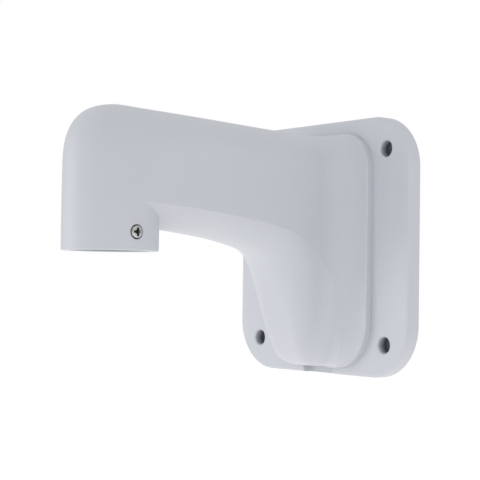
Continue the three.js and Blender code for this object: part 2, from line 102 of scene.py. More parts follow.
def respace(rows: Array, count: int) -> Array:
    """Space each row's points evenly along its length.

    Args:
        rows: Array of rows, points and three coordinates.
        count: Number of steps wanted in each row.

    Returns:
        Array with count + 1 points in each row, at equal shares of the row's length.
    """
    step = np.linalg.norm(np.diff(rows, axis=1), axis=2)
    length = np.concatenate([np.zeros((len(rows), 1)), np.cumsum(step, axis=1)], axis=1)
    share = np.linspace(0, 1, count + 1)
    out = np.empty((len(rows), count + 1, 3))
    for r, (row, along) in enumerate(zip(rows, length)):
        for axis in range(3):
            out[r, :, axis] = np.interp(share * along[-1], along, row[:, axis])
    return out


def mirror_ring(half: Array) -> Array:
    """Close rings from their right halves: the left half is the right one with X turned over."""
    left = half[:, 1:-1][:, ::-1] * np.array([-1.0, 1.0, 1.0])
    return np.concatenate([half, left], axis=1)


def rounded_rectangle(half_x: float, low: float, high: float, top: float, bottom: float,
                      arc: int = 16, straight: int = 10) -> tuple[Array, Array]:
    """Lay out a rounded rectangle as core points and outward directions.

    A point of the outline inset by d is the core point plus its direction times (corner - d):
    along a side the core slides and the direction holds, and round a corner the core holds
    and the direction turns through a quarter circle.

    Args:
        half_x: Half the width.
        low: Lowest Z.
        high: Highest Z.
        top: Radius of the two upper corners.
        bottom: Radius of the two lower corners.
        arc: Steps in each corner.
        straight: Steps along each side.

    Returns:
        Points (x, z) of the outline, and the outward direction at each.
    """
    corners = [(half_x - bottom, low + bottom, bottom, -90), (half_x - top, high - top, top, 0),
               (-half_x + top, high - top, top, 90), (-half_x + bottom, low + bottom, bottom, 180)]
    points, normals = [], []
    for k, (cx, cz, radius, start) in enumerate(corners):
        turn = np.radians(start + np.linspace(0, 90, arc + 1))
        facing = np.stack([np.cos(turn), np.sin(turn)], axis=1)
        points.append(np.array([cx, cz]) + facing * radius)
        normals.append(facing)
        nx, nz, next_radius, _ = corners[(k + 1) % 4]
        ahead = np.array([nx, nz]) + facing[-1] * next_radius
        share = np.linspace(0, 1, straight + 2)[1:-1, None]
        points.append(points[-1][-1] * (1 - share) + ahead * share)
        normals.append(np.repeat(facing[-1:], straight, axis=0))
    return np.concatenate(points), np.concatenate(normals)


def quarter(steps: int) -> Array:
    """Angles of a quarter turn, both ends included."""
    return np.linspace(0, math.pi / 2, steps + 1)


# ---- meshes -----------------------------------------------------------------------------


@dataclass
class Shell:
    """A mesh put together from grids of points, in millimetres.

    Attributes:
        points: Blocks of vertices.
        quads: Blocks of four-cornered faces.
        count: Vertices so far.
    """

    points: list[Array] = field(default_factory=list)
    quads: list[Array] = field(default_factory=list)
    count: int = 0

    def grid(self, rows: Array, close_rows: bool = False, close_ring: bool = True) -> "Shell":
        """Add a grid: face (r, c) joins points (r, c), (r, c+1), (r+1, c+1) and (r+1, c).

        Args:
            rows: Array of rows, columns and three coordinates.
            close_rows: Join the last row to the first.
            close_ring: Join the last column to the first.

        Returns:
            The shell itself.
        """
        high, wide = rows.shape[:2]
        r, c = np.meshgrid(np.arange(high if close_rows else high - 1),
                           np.arange(wide if close_ring else wide - 1), indexing="ij")
        below, right = (r + 1) % high, (c + 1) % wide
        corners = [r * wide + c, r * wide + right, below * wide + right, below * wide + c]
        self.quads.append(np.stack([k.ravel() for k in corners], axis=1) + self.count)
        self.points.append(rows.reshape(-1, 3))
        self.count += high * wide
        return self

    def mesh(self, name: str) -> bpy.types.Mesh:
        """Make the Blender mesh, in metres.

        Args:
            name: Name of the mesh.

        Returns:
            The new mesh.
        """
        mesh = bpy.data.meshes.new(name)
        points = np.concatenate(self.points) * MM
        mesh.from_pydata(points.tolist(), [], np.concatenate(self.quads).tolist())
        return mesh


def edit(mesh: bpy.types.Mesh, work: Callable[[bmesh.types.BMesh], None]) -> None:
    """Run an edit on a mesh through bmesh.

    Args:
        mesh: The mesh that changes.
        work: The edit.
    """
    bm = bmesh.new()
    bm.from_mesh(mesh)
    work(bm)
    bm.to_mesh(mesh)
    bm.free()


def fill_level(bm: bmesh.types.BMesh, axis: int, level: float) -> None:
    """Fill the flat region between all open loops that lie at one level.

    Args:
        bm: The mesh.
        axis: 0, 1 or 2 for X, Y or Z.
        level: Coordinate in millimetres on that axis.
    """
    loose = [e for e in bm.edges if e.is_boundary
             and all(abs(v.co[axis] / MM - level) < 1e-3 for v in e.verts)]
    if loose:
        bmesh.ops.triangle_fill(bm, use_beauty=True, use_dissolve=False, edges=loose)


def piece_from(shell: Shell, name: str, levels: Sequence[tuple[int, float]] = ()
               ) -> bpy.types.Object:
    """Make an object from a shell: merge doubles, fill flat ends and face outwards.

    Args:
        shell: The grids.
        name: Name of the piece.
        levels: Axis and level of each flat region to fill.

    Returns:
        The object, linked into the scene.
    """
    mesh = shell.mesh(name)

    def close(bm: bmesh.types.BMesh) -> None:
        """Merge doubles, fill flat ends and turn the faces outwards.

        Args:
            bm: The mesh.
        """
        bmesh.ops.remove_doubles(bm, verts=bm.verts, dist=2e-7)
        bmesh.ops.dissolve_degenerate(bm, dist=1e-7, edges=bm.edges)
        for axis, level in levels:
            fill_level(bm, axis, level)
        bmesh.ops.recalc_face_normals(bm, faces=bm.faces)

    edit(mesh, close)
    piece = bpy.data.objects.new(name, mesh)
    bpy.context.scene.collection.objects.link(piece)
    return piece


def apply_modifiers(piece: bpy.types.Object) -> None:
    """Replace a piece's mesh by its evaluated mesh and clear its modifiers.

    Args:
        piece: The piece.
    """
    graph = bpy.context.evaluated_depsgraph_get()
    done = bpy.data.meshes.new_from_object(piece.evaluated_get(graph), depsgraph=graph)
    piece.modifiers.clear()
    piece.data = done


def cut(piece: bpy.types.Object, *cutters: bpy.types.Object, how: str = "DIFFERENCE") -> None:
    """Cut closed solids out of a piece, or join them to it, and drop the cutters.

    Args:
        piece: The piece that changes.
        cutters: Solids to take away or add.
        how: DIFFERENCE or UNION.
    """
    for cutter in cutters:
        step = piece.modifiers.new("cut", "BOOLEAN")
        step.object, step.operation, step.solver = cutter, how, "EXACT"
        bpy.context.view_layer.update()
        apply_modifiers(piece)
        bpy.data.objects.remove(cutter)


def soften(piece: bpy.types.Object, width: float, segments: int = 2, angle: float = 40) -> None:
    """Round a piece's sharp edges.

    Args:
        piece: The piece.
        width: Width of the rounding in millimetres.
        segments: Faces across it.
        angle: Edges that turn more than this many degrees are rounded.
    """
    bevel = piece.modifiers.new("edge", "BEVEL")
    bevel.width, bevel.segments = width * MM, segments
    bevel.limit_method, bevel.angle_limit = "ANGLE", math.radians(angle)
    bevel.use_clamp_overlap = True
    apply_modifiers(piece)


def shade(piece: bpy.types.Object, angle: float = 30) -> None:
    """Shade smooth, with every edge that turns more than the angle kept sharp."""
    limit = math.radians(angle)

    def mark(bm: bmesh.types.BMesh) -> None:
        """Set each face smooth and each edge smooth or sharp."""
        for face in bm.faces:
            face.smooth = True
        for edge in bm.edges:
            edge.smooth = edge.is_manifold and edge.calc_face_angle(0.0) < limit

    edit(piece.data, mark)


def lathe(profile: Stations, segments: int) -> Array:
    """Turn a profile of radius and height about Z: x = r cos a, y = r sin a, z = h."""
    radius, height = np.array(profile, float).T
    angle = np.linspace(0, 2 * math.pi, segments, endpoint=False)
    return np.stack([radius[:, None] * np.cos(angle), radius[:, None] * np.sin(angle),
                     height[:, None] + 0 * angle], axis=2)


def lay(points: Array, along: str, at: Sequence[float]) -> Array:
    """Turn a form made about +Z so that +Z points another way, then move it.

    Args:
        points: Points made about Z.
        along: Where its +Z goes: one of x, -x, y, -y, z and -z.
        at: Where its origin goes.

    Returns:
        The turned and moved points.
    """
    x, y, z = np.moveaxis(points, -1, 0)
    ways = {"z": (x, y, z), "-z": (x, -y, -z), "y": (x, z, -y), "-y": (x, -z, y),
            "x": (z, y, -x), "-x": (-z, y, x)}
    return np.stack(ways[along], axis=-1) + np.array(at, float)


def turned(name: str, profile: Stations, along: str, at: Sequence[float],
           segments: int = 32) -> bpy.types.Object:
    """Make a closed solid by turning a profile that is led to the axis at both ends.

    Args:
        name: Name of the piece.
        profile: Radius and height of each point.
        along: Where the axis points, as for lay.
        at: Where the axis starts.
        segments: Steps round the axis.

    Returns:
        The solid.
    """
    whole = [(0.0, profile[0][1]), *profile, (0.0, profile[-1][1])]
    return piece_from(Shell().grid(lay(lathe(whole, segments), along, at)), name)


def oblong(west: float, east: float, low: float, high: float) -> Array:
    """Outline of a rectangle in X and Z."""
    return np.array([(west, low), (east, low), (east, high), (west, high)], float)


def inset_rows(outline: Array, facing: Array, steps: Stations) -> Array:
    """Draw an outline set in: its points less the facing direction times the inset.

    Args:
        outline: Outer points (x, z).
        facing: Outward direction at each.
        steps: Inset and Y of each ring.

    Returns:
        The rings.
    """
    return np.array([np.stack([outline[:, 0] - facing[:, 0] * inset, np.full(len(outline), y),
                               outline[:, 1] - facing[:, 1] * inset], axis=1)
                     for inset, y in steps])


def slab(name: str, outline: Array, back: float, front: float) -> bpy.types.Object:
    """Make a closed slab from an outline in X and Z, from y = back to y = front."""
    rows = inset_rows(outline, 0 * outline, ((0.0, back), (0.0, front)))
    return piece_from(Shell().grid(rows), name, ((1, back), (1, front)))


# ---- finishes ---------------------------------------------------------------------------


@dataclass(frozen=True)
class Graph:
    """A small hand for wiring nodes.

    Attributes:
        tree: The node tree that is being wired.
    """

    tree: bpy.types.NodeTree

    def add(self, kind: str, inputs: dict | None = None, **settings: object) -> bpy.types.Node:
        """Add a node, set its properties and fill its inputs.

        Args:
            kind: Blender's node class name.
            inputs: Socket name or index to a value, or to another node's output socket.
            **settings: Properties of the node.

        Returns:
            The node.
        """
        node = self.tree.nodes.new(kind)
        for key, value in settings.items():
            setattr(node, key, value)
        self.wire(node, inputs or {})
        return node

    def wire(self, node: bpy.types.Node, inputs: dict) -> None:
        """Fill a node's inputs with values or with other nodes' output sockets."""
        for key, value in inputs.items():
            if isinstance(value, bpy.types.NodeSocket):
                self.tree.links.new(value, node.inputs[key])
            else:
                node.inputs[key].default_value = value

    def place(self, group: bpy.types.NodeTree, where: bpy.types.NodeSocket,
              **values: object) -> bpy.types.Node:
        """Place a shared group, its other inputs named with low lines for spaces."""
        inputs = {key.replace("_", " "): value for key, value in values.items()}
        return self.add("ShaderNodeGroup", {"Vector": where, **inputs}, node_tree=group)

    def mask(self, name: str) -> bpy.types.NodeSocket:
        """Read one of a piece's own attributes."""
        return self.add("ShaderNodeAttribute", attribute_name=name).outputs["Fac"]

    def math(self, how: str, a: object, b: object = 0.0, clamp: bool = False
             ) -> bpy.types.NodeSocket:
        """Add one sum of two values and return its result."""
        node = self.add("ShaderNodeMath", {0: a, 1: b}, operation=how, use_clamp=clamp)
        return node.outputs[0]

    def spread(self, value: bpy.types.NodeSocket, low: float, high: float, to_low: float = 0.0,
               to_high: float = 1.0) -> bpy.types.NodeSocket:
        """Map a range of values onto another and return the result, clamped."""
        node = self.add("ShaderNodeMapRange", {"Value": value, "From Min": low, "From Max": high,
                                               "To Min": to_low, "To Max": to_high})
        return node.outputs["Result"]

    def mix(self, share: bpy.types.NodeSocket, first: object, second: object
            ) -> bpy.types.NodeSocket:
        """Blend two colours by a share and return the colour."""
        node = self.add("ShaderNodeMix", {0: share, 6: first, 7: second}, data_type="RGBA")
        return node.outputs[2]

    def bump(self, height: bpy.types.NodeSocket, strength: float, depth: float
             ) -> bpy.types.NodeSocket:
        """Add a bump of a strength and a depth in metres and return its normal."""
        node = self.add("ShaderNodeBump", {"Height": height, "Strength": strength,
                                           "Distance": depth})
        return node.outputs["Normal"]

    def noise(self, where: bpy.types.NodeSocket, scale: float, detail: float = 2.0,
              roughness: float = 0.5) -> bpy.types.NodeSocket:
        """Add a noise texture at a scale per metre and return its value."""
        node = self.add("ShaderNodeTexNoise", {"Vector": where, "Scale": scale, "Detail": detail,
                                               "Roughness": roughness})
        return node.outputs["Fac"]


def new_group(name: str, inputs: dict[str, float], outputs: dict[str, str]) -> Graph:
    """Start a shader node group with named sockets.

    Args:
        name: The group's name.
        inputs: Input name to its first value.
        outputs: Output name to its socket type.

    Returns:
        A graph on the new group.
    """
    tree = bpy.data.node_groups.new(name, "ShaderNodeTree")
    tree.interface.new_socket("Vector", in_out="INPUT", socket_type="NodeSocketVector")
    for key, value in inputs.items():
        socket = tree.interface.new_socket(key, in_out="INPUT", socket_type="NodeSocketFloat")
        socket.default_value = value
    for key, kind in outputs.items():
        tree.interface.new_socket(key, in_out="OUTPUT", socket_type=kind)
    return Graph(tree)


def powder_grain() -> bpy.types.NodeTree:
    """Orange peel of a sprayed and baked coat: broad shallow waves with fine grit on them.

    Height is three parts of waves to one part of grit. Shift is a slow cloudy change of shade.
    """
    graph = new_group("powder_grain", {"Wave Scale": 620.0, "Grit Scale": 2600.0},
                      {"Height": "NodeSocketFloat", "Shift": "NodeSocketFloat"})
    source = graph.add("NodeGroupInput").outputs
    waves = graph.noise(source["Vector"], source["Wave Scale"], 2.0, 0.45)
    grit = graph.noise(source["Vector"], source["Grit Scale"], 3.0, 0.6)
    height = graph.math("ADD", graph.math("MULTIPLY", waves, 0.75),
                        graph.math("MULTIPLY", grit, 0.25))
    cloud = graph.noise(source["Vector"], 14.0, 3.0, 0.55)
    graph.add("NodeGroupOutput", {"Height": height, "Shift": cloud})
    return graph.tree


def edge_wear() -> bpy.types.NodeTree:
    """Where an edge is rubbed: its edge mask, broken up by noise, above a threshold."""
    graph = new_group("edge_wear", {"Edge": 0.0, "Amount": 0.5, "Scale": 240.0},
                      {"Mask": "NodeSocketFloat"})
    source = graph.add("NodeGroupInput").outputs
    patch = graph.noise(source["Vector"], source["Scale"], 4.0, 0.65)
    chance = graph.math("MULTIPLY", graph.math("MULTIPLY", source["Edge"], patch),
                        graph.math("MULTIPLY", source["Amount"], 2.0))
    graph.add("NodeGroupOutput", {"Mask": graph.spread(chance, 0.42, 0.62)})
    return graph.tree


def settled_dust() -> bpy.types.NodeTree:
    """Fine dust on faces that look up: the normal's Z, thinned by patchy noise."""
    graph = new_group("settled_dust", {"Amount": 0.3, "Scale": 60.0},
                      {"Mask": "NodeSocketFloat"})
    source = graph.add("NodeGroupInput").outputs
    normal = graph.add("ShaderNodeNewGeometry").outputs["Normal"]
    upward = graph.add("ShaderNodeSeparateXYZ", {"Vector": normal}).outputs["Z"]
    patch = graph.noise(source["Vector"], source["Scale"], 5.0, 0.7)
    lying = graph.math("MULTIPLY", graph.spread(upward, 0.55, 1.0),
                       graph.spread(patch, 0.3, 0.75))
    mask = graph.math("MULTIPLY", lying, source["Amount"], clamp=True)
    graph.add("NodeGroupOutput", {"Mask": mask})
    return graph.tree


def drawn_lines() -> bpy.types.NodeTree:
    """Tool marks on metal: noise stretched along one direction, as value and height."""
    graph = new_group("drawn_lines", {"Scale": 900.0, "Stretch": 0.06},
                      {"Value": "NodeSocketFloat"})
    source = graph.add("NodeGroupInput").outputs
    pull = graph.add("ShaderNodeCombineXYZ", {"X": source["Scale"], "Z": source["Scale"],
                     "Y": graph.math("MULTIPLY", source["Scale"], source["Stretch"])})
    along = graph.add("ShaderNodeVectorMath", {0: source["Vector"], 1: pull.outputs[0]},
                      operation="MULTIPLY")
    graph.add("NodeGroupOutput", {"Value": graph.noise(along.outputs[0], 1.0, 4.0, 0.6)})
    return graph.tree


@dataclass(frozen=True)
class Effects:
    """The shared node groups, each built once.

    Attributes:
        grain: Orange peel of the powder coat, and the grain of rubber.
        wear: Rubbed edges.
        dust: Dust on faces that look up.
        lines: Tool marks on metal.
    """

    grain: bpy.types.NodeTree
    wear: bpy.types.NodeTree
    dust: bpy.types.NodeTree
    lines: bpy.types.NodeTree

    @classmethod
    def build(cls) -> "Effects":
        """Build every group."""
        return cls(powder_grain(), edge_wear(), settled_dust(), drawn_lines())


def opaque(colour: Colour) -> tuple[float, float, float, float]:
    """A colour with full alpha."""
    return (*colour, 1.0)


@dataclass(frozen=True)
class Finish:
    """What every finish shares.

    Attributes:
        name: The material's name.
        effects: The shared node groups.
    """

    name: str
    effects: Effects

    def begin(self) -> tuple[bpy.types.Material, Graph, bpy.types.Node, bpy.types.NodeSocket]:
        """Start the material.

        Returns:
            The material, its graph, its shader node and the object coordinates.
        """
        material = bpy.data.materials.new(self.name)
        material.use_nodes = True
        graph = Graph(material.node_tree)
        where = graph.add("ShaderNodeTexCoord").outputs["Object"]
        return material, graph, material.node_tree.nodes["Principled BSDF"], where

@dataclass(frozen=True)
class PowderCoat(Finish):
    """Satin white powder coat on cast aluminium, a little cool, faintly textured.

    Attributes:
        colour: The clean coat.
        shade: The coat in its cloudy patches.
        thin: The coat where an edge has thinned it.
        dirt: Settled dust.
        recess_shade_colour: Near-black painted shade in the wall holes and the neck's threaded
            mouth.
    """

    colour: Colour = (0.60, 0.625, 0.675)
    shade: Colour = (0.585, 0.61, 0.66)
    thin: Colour = (0.66, 0.675, 0.70)
    dirt: Colour = (0.47, 0.455, 0.42)
    recess_shade_colour: Colour = (0.085, 0.100, 0.120)

    def material(self) -> bpy.types.Material:
        """Build the material: cloudy shade, thin edges, faint dust, painted shade in hollows and
        orange peel.
        """
        material, graph, shader, where = self.begin()
        grain = graph.place(self.effects.grain, where).outputs
        worn = graph.place(self.effects.wear, where, Edge=graph.mask("edge"), Amount=0.62)
        dusty = graph.place(self.effects.dust, where, Amount=0.12).outputs["Mask"]
        cloud = graph.spread(grain["Shift"], 0.35, 0.65)
        coat = graph.mix(cloud, opaque(self.colour), opaque(self.shade))
        thinned = graph.mix(worn.outputs["Mask"], coat, opaque(self.thin))
        covered = graph.mix(dusty, thinned, opaque(self.dirt))
        rough = graph.spread(grain["Height"], 0.3, 0.7, 0.40, 0.52)
        graph.wire(shader, {
            # Painted shade: the deep attribute darkens the wall holes and the neck's mouth to near
            # black.
            "Base Color": graph.mix(graph.mask("deep"), covered, opaque(self.recess_shade_colour)),
            "Roughness": graph.math("ADD", rough, graph.math("MULTIPLY", dusty, 0.8), clamp=True),
            "Normal": graph.bump(grain["Height"], 0.22, 0.00012),
            "IOR": 1.48})
        return material


@dataclass(frozen=True)
class Metal(Finish):
    """Bare or plated metal with tool marks and stains.

    Attributes:
        colour: The clean metal.
        stain: The metal where it has dulled.
        recess_darkening: The near-black colour that darkens the metal deep in its recesses.
        smooth: Lowest roughness.
        rough: Highest roughness.
        scale: Tool marks per metre.
        stretch: Their scale along Y over that across it.
    """

    colour: Colour = (0.62, 0.62, 0.63)
    stain: Colour = (0.46, 0.45, 0.44)
    recess_darkening: Colour = (0.03, 0.03, 0.032)
    smooth: float = 0.22
    rough: float = 0.42
    scale: float = 1500.0
    stretch: float = 0.3

    def material(self) -> bpy.types.Material:
        """Build the material: tool marks in roughness and bump, stains in colour, darker deep in
        recesses.
        """
        material, graph, shader, where = self.begin()
        marks = graph.place(self.effects.lines, where, Scale=self.scale, Stretch=self.stretch)
        value = marks.outputs["Value"]
        blotch = graph.spread(graph.noise(where, 420.0, 4.0, 0.65), 0.42, 0.72)
        clean = graph.mix(blotch, opaque(self.colour), opaque(self.stain))
        graph.wire(shader, {
            # Darker the deeper into a screw's cross recess, as the deep attribute says.
            "Base Color": graph.mix(graph.mask("deep"), clean, opaque(self.recess_darkening)),
            "Roughness": graph.spread(value, 0.3, 0.7, self.smooth, self.rough),
            "Normal": graph.bump(value, 0.25, 0.00005),
            "Metallic": 1.0})
        return material


@dataclass(frozen=True)
class Rubber(Finish):
    """Moulded sealing rubber: matt, with a fine dull bloom.

    Attributes:
        colour: The clean rubber.
        bloom: The rubber where it has paled.
    """

    colour: Colour = (0.022, 0.022, 0.024)
    bloom: Colour = (0.06, 0.06, 0.062)

    def material(self) -> bpy.types.Material:
        """Build the material: bloom in colour, fine grain in roughness and bump."""
        material, graph, shader, where = self.begin()
        grain = graph.place(self.effects.grain, where, Wave_Scale=900.0, Grit_Scale=4200.0)
        height = grain.outputs["Height"]
        bloom = graph.spread(graph.noise(where, 160.0, 4.0, 0.7), 0.45, 0.8)
        graph.wire(shader, {
            "Base Color": graph.mix(bloom, opaque(self.colour), opaque(self.bloom)),
            "Roughness": graph.spread(height, 0.3, 0.7, 0.62, 0.85),
            "Normal": graph.bump(height, 0.4, 0.0001)})
        return material


@dataclass
class Wardrobe:
    """Every material of the bracket.

    Attributes:
        materials: The materials by slot.
    """

    materials: dict[Slot, bpy.types.Material]

    @classmethod
    def build(cls) -> "Wardrobe":
        """Build the shared effects and the materials."""
        effects = Effects.build()
        return cls({
            Slot.POWDER: PowderCoat("powder_coat", effects).material(),
            Slot.STAINLESS: Metal("stainless", effects).material(),
            Slot.ZINC: Metal("zinc", effects, colour=(0.56, 0.575, 0.59),
                             stain=(0.44, 0.45, 0.44), smooth=0.34, rough=0.52,
                             scale=700.0, stretch=0.8).material(),
            Slot.BLACK_RUBBER: Rubber("black_rubber", effects).material(),
            Slot.GREY_RUBBER: Rubber("grey_rubber", effects, colour=(0.23, 0.24, 0.25),
                                     bloom=(0.30, 0.31, 0.32)).material(),
        })

    def dress(self, piece: bpy.types.Object, slot: Slot, body: str, *nodes: str) -> None:
        """Give a piece its material, slot and body, and the CAD nodes it stands for.

        Args:
            piece: The piece.
            slot: Its material slot.
            body: The body it rides on.
            *nodes: The CAD nodes that it replaces.
        """
        piece.data.materials.clear()
        piece.data.materials.append(self.materials[slot])
        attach(piece, body)
        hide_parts(*nodes)
        LOG.info("%s: %d faces, on %s", piece.name, len(piece.data.polygons), body)


def mark_edges(piece: bpy.types.Object, reach: float = 1.2) -> None:
    """Store where a mesh bends outwards, as the attribute that the edge wear reads.

    A vertex's value is how far it stands proud of the mean of its neighbours, along its own
    normal, over the mean length of its edges, times the reach.

    Args:
        piece: The piece.
        reach: How strongly a bend counts.
    """
    mesh = piece.data
    count = len(mesh.vertices)
    at, normal = np.empty(count * 3), np.empty(count * 3)
    mesh.vertices.foreach_get("co", at)
    mesh.vertices.foreach_get("normal", normal)
    ends = np.empty(len(mesh.edges) * 2, np.int64)
    mesh.edges.foreach_get("vertices", ends)
    at, normal, ends = at.reshape(-1, 3), normal.reshape(-1, 3), ends.reshape(-1, 2)
    both = np.concatenate([ends, ends[:, ::-1]])
    step = at[both[:, 1]] - at[both[:, 0]]
    length = np.maximum(np.linalg.norm(step, axis=1), 1e-9)
    drop = -(step * normal[both[:, 0]]).sum(axis=1) / length
    valence = np.maximum(np.bincount(both[:, 0], minlength=count), 1)
    proud = np.bincount(both[:, 0], weights=drop, minlength=count) / valence
    layer = mesh.attributes.new("edge", "FLOAT", "POINT")
    layer.data.foreach_set("value", np.clip(proud * reach, 0, 1).astype(np.float32))


def mark_deep(piece: bpy.types.Object, share: Callable[[Array], Array]) -> None:
    """Store where a finish paints shade into hollows or darkens recesses, as the attribute it reads.

    Args:
        piece: The piece.
        share: Turns points in millimetres into values from 0 to 1.
    """
    at = np.array([v.co for v in piece.data.vertices]) / MM
    layer = piece.data.attributes.new("deep", "FLOAT", "POINT")
    layer.data.foreach_set("value", share(at).astype(np.float32))


# ---- the arm ----------------------------------------------------------------------------

NECK_AXIS = -181.0  # Y of the neck's axis
LOCK_Z = 4.3  # height of the lock screws
HOOK_Y = -150.0  # Y of the hook's boss and screw
FOOT_FRONT = -15.2  # Y where the rounding of the foot's edge begins
FOOT_BACK = -10.02  # Y of the foot's back
FOOT_LOW = -80.8  # lowest point of the foot inside that rounding
FOOT_EDGE = (53.0, -81.8, 76.8, 25.0, 32.0)  # half width, low, high, upper and lower corner


@dataclass(frozen=True)
class Gooseneck:
    """The form of the arm: a round upright neck under a dome, bent into a boxed arm.

    Every curve is a list of stations along Y. The upper half of a section runs from the crest
    round an eased corner and down a straight side to the fold line; the lower half hangs below
    the fold line.

    Attributes:
        radius: Half the width of neck and arm.
        axis: Y of the neck's axis.
        bottom: Z where the neck's sections begin.
        dome_base: Z where the dome begins.
        dome_height: Height of the dome.
        square: Exponent of the dome's outline; 2 would be an ellipse.
        crest: Height of the crest.
        corner: Width of the crest's corner.
        drop: Height of the crest's corner.
        ease: Exponent of the corner's outline.
        fold: Height of the fold line.
        belly: Lowest height of the lower half.
        upright: Y from which the lower halves stand upright too.
        throat: Y where the rings begin to be evenly spaced.
        flat: Half the straight bottom edge of the foot.
        floor: Height of that edge.
        upper_steps: Steps from the crest to the fold line.
        lower_steps: Steps from there to the belly's middle.
    """

    radius: float = 30.0
    axis: float = NECK_AXIS
    bottom: float = -6.0
    dome_base: float = 47.2
    dome_height: float = 36.0
    square: float = 2.55
    crest: Stations = ((-181, 83.2), (-150, 80.9), (-110, 79), (-64, 76.7), (-38, 75.6),
                       (FOOT_FRONT, 75.8))
    corner: Stations = ((-181, 30), (-140, 21), (-34.2, 21), (FOOT_FRONT, 24))
    drop: Stations = ((-181, 36), (-140, 21), (-34.2, 21), (FOOT_FRONT, 24))
    ease: Stations = ((-181, 2.55), (-140, 2), (FOOT_FRONT, 2))
    fold: Stations = ((-181, 23), (-150, 21.4), (-90, 15), (-64, 10), (-50, 4), (-34, -9),
                      (-26.4, -21), (-24.4, -29.5), (-23, -45), (-22.2, -62), (-20.8, -72),
                      (-18.5, -78.5), (FOOT_FRONT, FOOT_LOW))
    belly: Stations = ((-181, 10), (-151, 8.2), (-104, 3.1), (-84, -0.9), (-74, -3.5),
                       (-66, -8.2), (-58, -18.9), (-50, -38.4), (-42, -62.9), (-34, -76.9),
                       (-25, -80.6), (FOOT_FRONT, FOOT_LOW))
    upright: float = -105.0
    throat: float = -100.0
    flat: float = 21.0
    floor: float = FOOT_LOW
    upper_steps: int = 60
    lower_steps: int = 40

    def half_width(self, y: Array) -> Array:
        """Half the width at Y."""
        return np.full_like(np.asarray(y, float), self.radius)

    def side_at(self, y: Array, z: Array, grow: float = 0.0) -> Array:
        """Half the width at Y and a height: each side draws in round its lower corner.

        The corner is a quarter circle from the side to the straight bottom edge, so the width
        is flat + the root of corner^2 - drop^2, drop the depth below the corner's centre.

        Args:
            y: Where the section is.
            z: Height on it.
            grow: How far the section is grown outwards.

        Returns:
            Half the width.
        """
        corner = self.half_width(y) + grow - self.flat
        drop = np.clip(self.floor - grow + corner - z, 0, corner)
        return self.flat + np.sqrt(np.maximum(corner ** 2 - drop ** 2, 0))

    def lower_at(self, x: Array, y: Array) -> Array:
        """Height of the lower half at X and Y: the fold plus an arc down to the belly."""
        raise NotImplementedError

    def neck_radius(self, z: Array) -> Array:
        """Radius at a height: r (1 - t^n)^(1/n), t the share of the dome's height."""
        t = np.clip((z - self.dome_base) / self.dome_height, 0, 1)
        return self.radius * (1 - t ** self.square) ** (1 / self.square)

    def domed_half(self, fold: Array, tilt: Array) -> Array:
        """Upper halves of tilted sections through the neck and its dome.

        A section's plane passes through the neck's axis at the fold height and rises towards
        -Y by the tilt. Its outline is where the distance across leaves the neck's radius.

        Args:
            fold: Fold height of each section.
            tilt: Tilt of each section in radians.

        Returns:
            Points of each section from its top to the fold line.
        """
        near, far = np.zeros_like(fold), np.full_like(fold, 200.0)
        for _ in range(50):
            middle = (near + far) / 2
            left = self.neck_radius(fold + middle * np.sin(tilt)) - middle * np.cos(tilt)
            near, far = np.where(left > 1e-9, middle, near), np.where(left > 1e-9, far, middle)
        reach = near[:, None] * np.cos(quarter(240))
        z = fold[:, None] + reach * np.sin(tilt)[:, None]
        ahead = reach * np.cos(tilt)[:, None]
        across = np.sqrt(np.maximum(self.neck_radius(z) ** 2 - ahead ** 2, 0))
        across[:, 0] = 0
        return np.stack([across, self.axis - ahead, z], axis=2)

    def boxed_half(self, y: Array, grow: float = 0.0) -> Array:
        """Upper halves of upright sections: crest, eased corner, then down the side.

        The corner is x = w - c (1 - sin(a)^(2/n)), z = crest - d (1 - cos(a)^(2/n)).

        Args:
            y: Where each section is.
            grow: How far the section is grown outwards.

        Returns:
            Points of each section from the crest to the fold line.
        """
        w, crest, corner, drop, power, fold = (v[:, None] for v in (
            self.half_width(y) + grow, smooth_curve(self.crest, y) + grow,
            smooth_curve(self.corner, y) + grow, smooth_curve(self.drop, y) + grow,
            smooth_curve(self.ease, y), smooth_curve(self.fold, y) - grow))
        a = quarter(120)[None, :]
        x = w - corner * (1 - np.sin(a) ** (2 / power))
        z = crest - drop * (1 - np.maximum(np.cos(a), 0) ** (2 / power))
        down = np.linspace(0, 1, 120)[None, 1:]
        low = (crest - drop) * (1 - down) + fold * down
        x = np.concatenate([0 * w, x, self.side_at(y[:, None], low, grow)], axis=1)
        z = np.concatenate([crest, z, low], axis=1)
        return np.stack([x, np.broadcast_to(y[:, None], x.shape), z], axis=2)

    def neck_rows(self, share: Array) -> Array:
        """Rings up the neck, from level at share 0 to upright at share 1.

        Args:
            share: Share of the way up of each ring.

        Returns:
            The rings.
        """
        fold = self.bottom + (smooth_curve(self.fold, [self.axis]) - self.bottom) * share
        upper = respace(self.domed_half(fold, math.pi / 2 * share ** 1.35), self.upper_steps)
        turn = quarter(self.lower_steps)[None, :]
        x = self.radius * np.cos(turn)
        y = self.axis + self.radius * np.sin(turn)
        z = self.bottom + (self.lower_at(x, y) - self.bottom) * share[:, None]
        lower = np.stack([x + 0 * z, y + 0 * z, z], axis=2)
        return mirror_ring(np.concatenate([upper, lower[:, 1:]], axis=1))

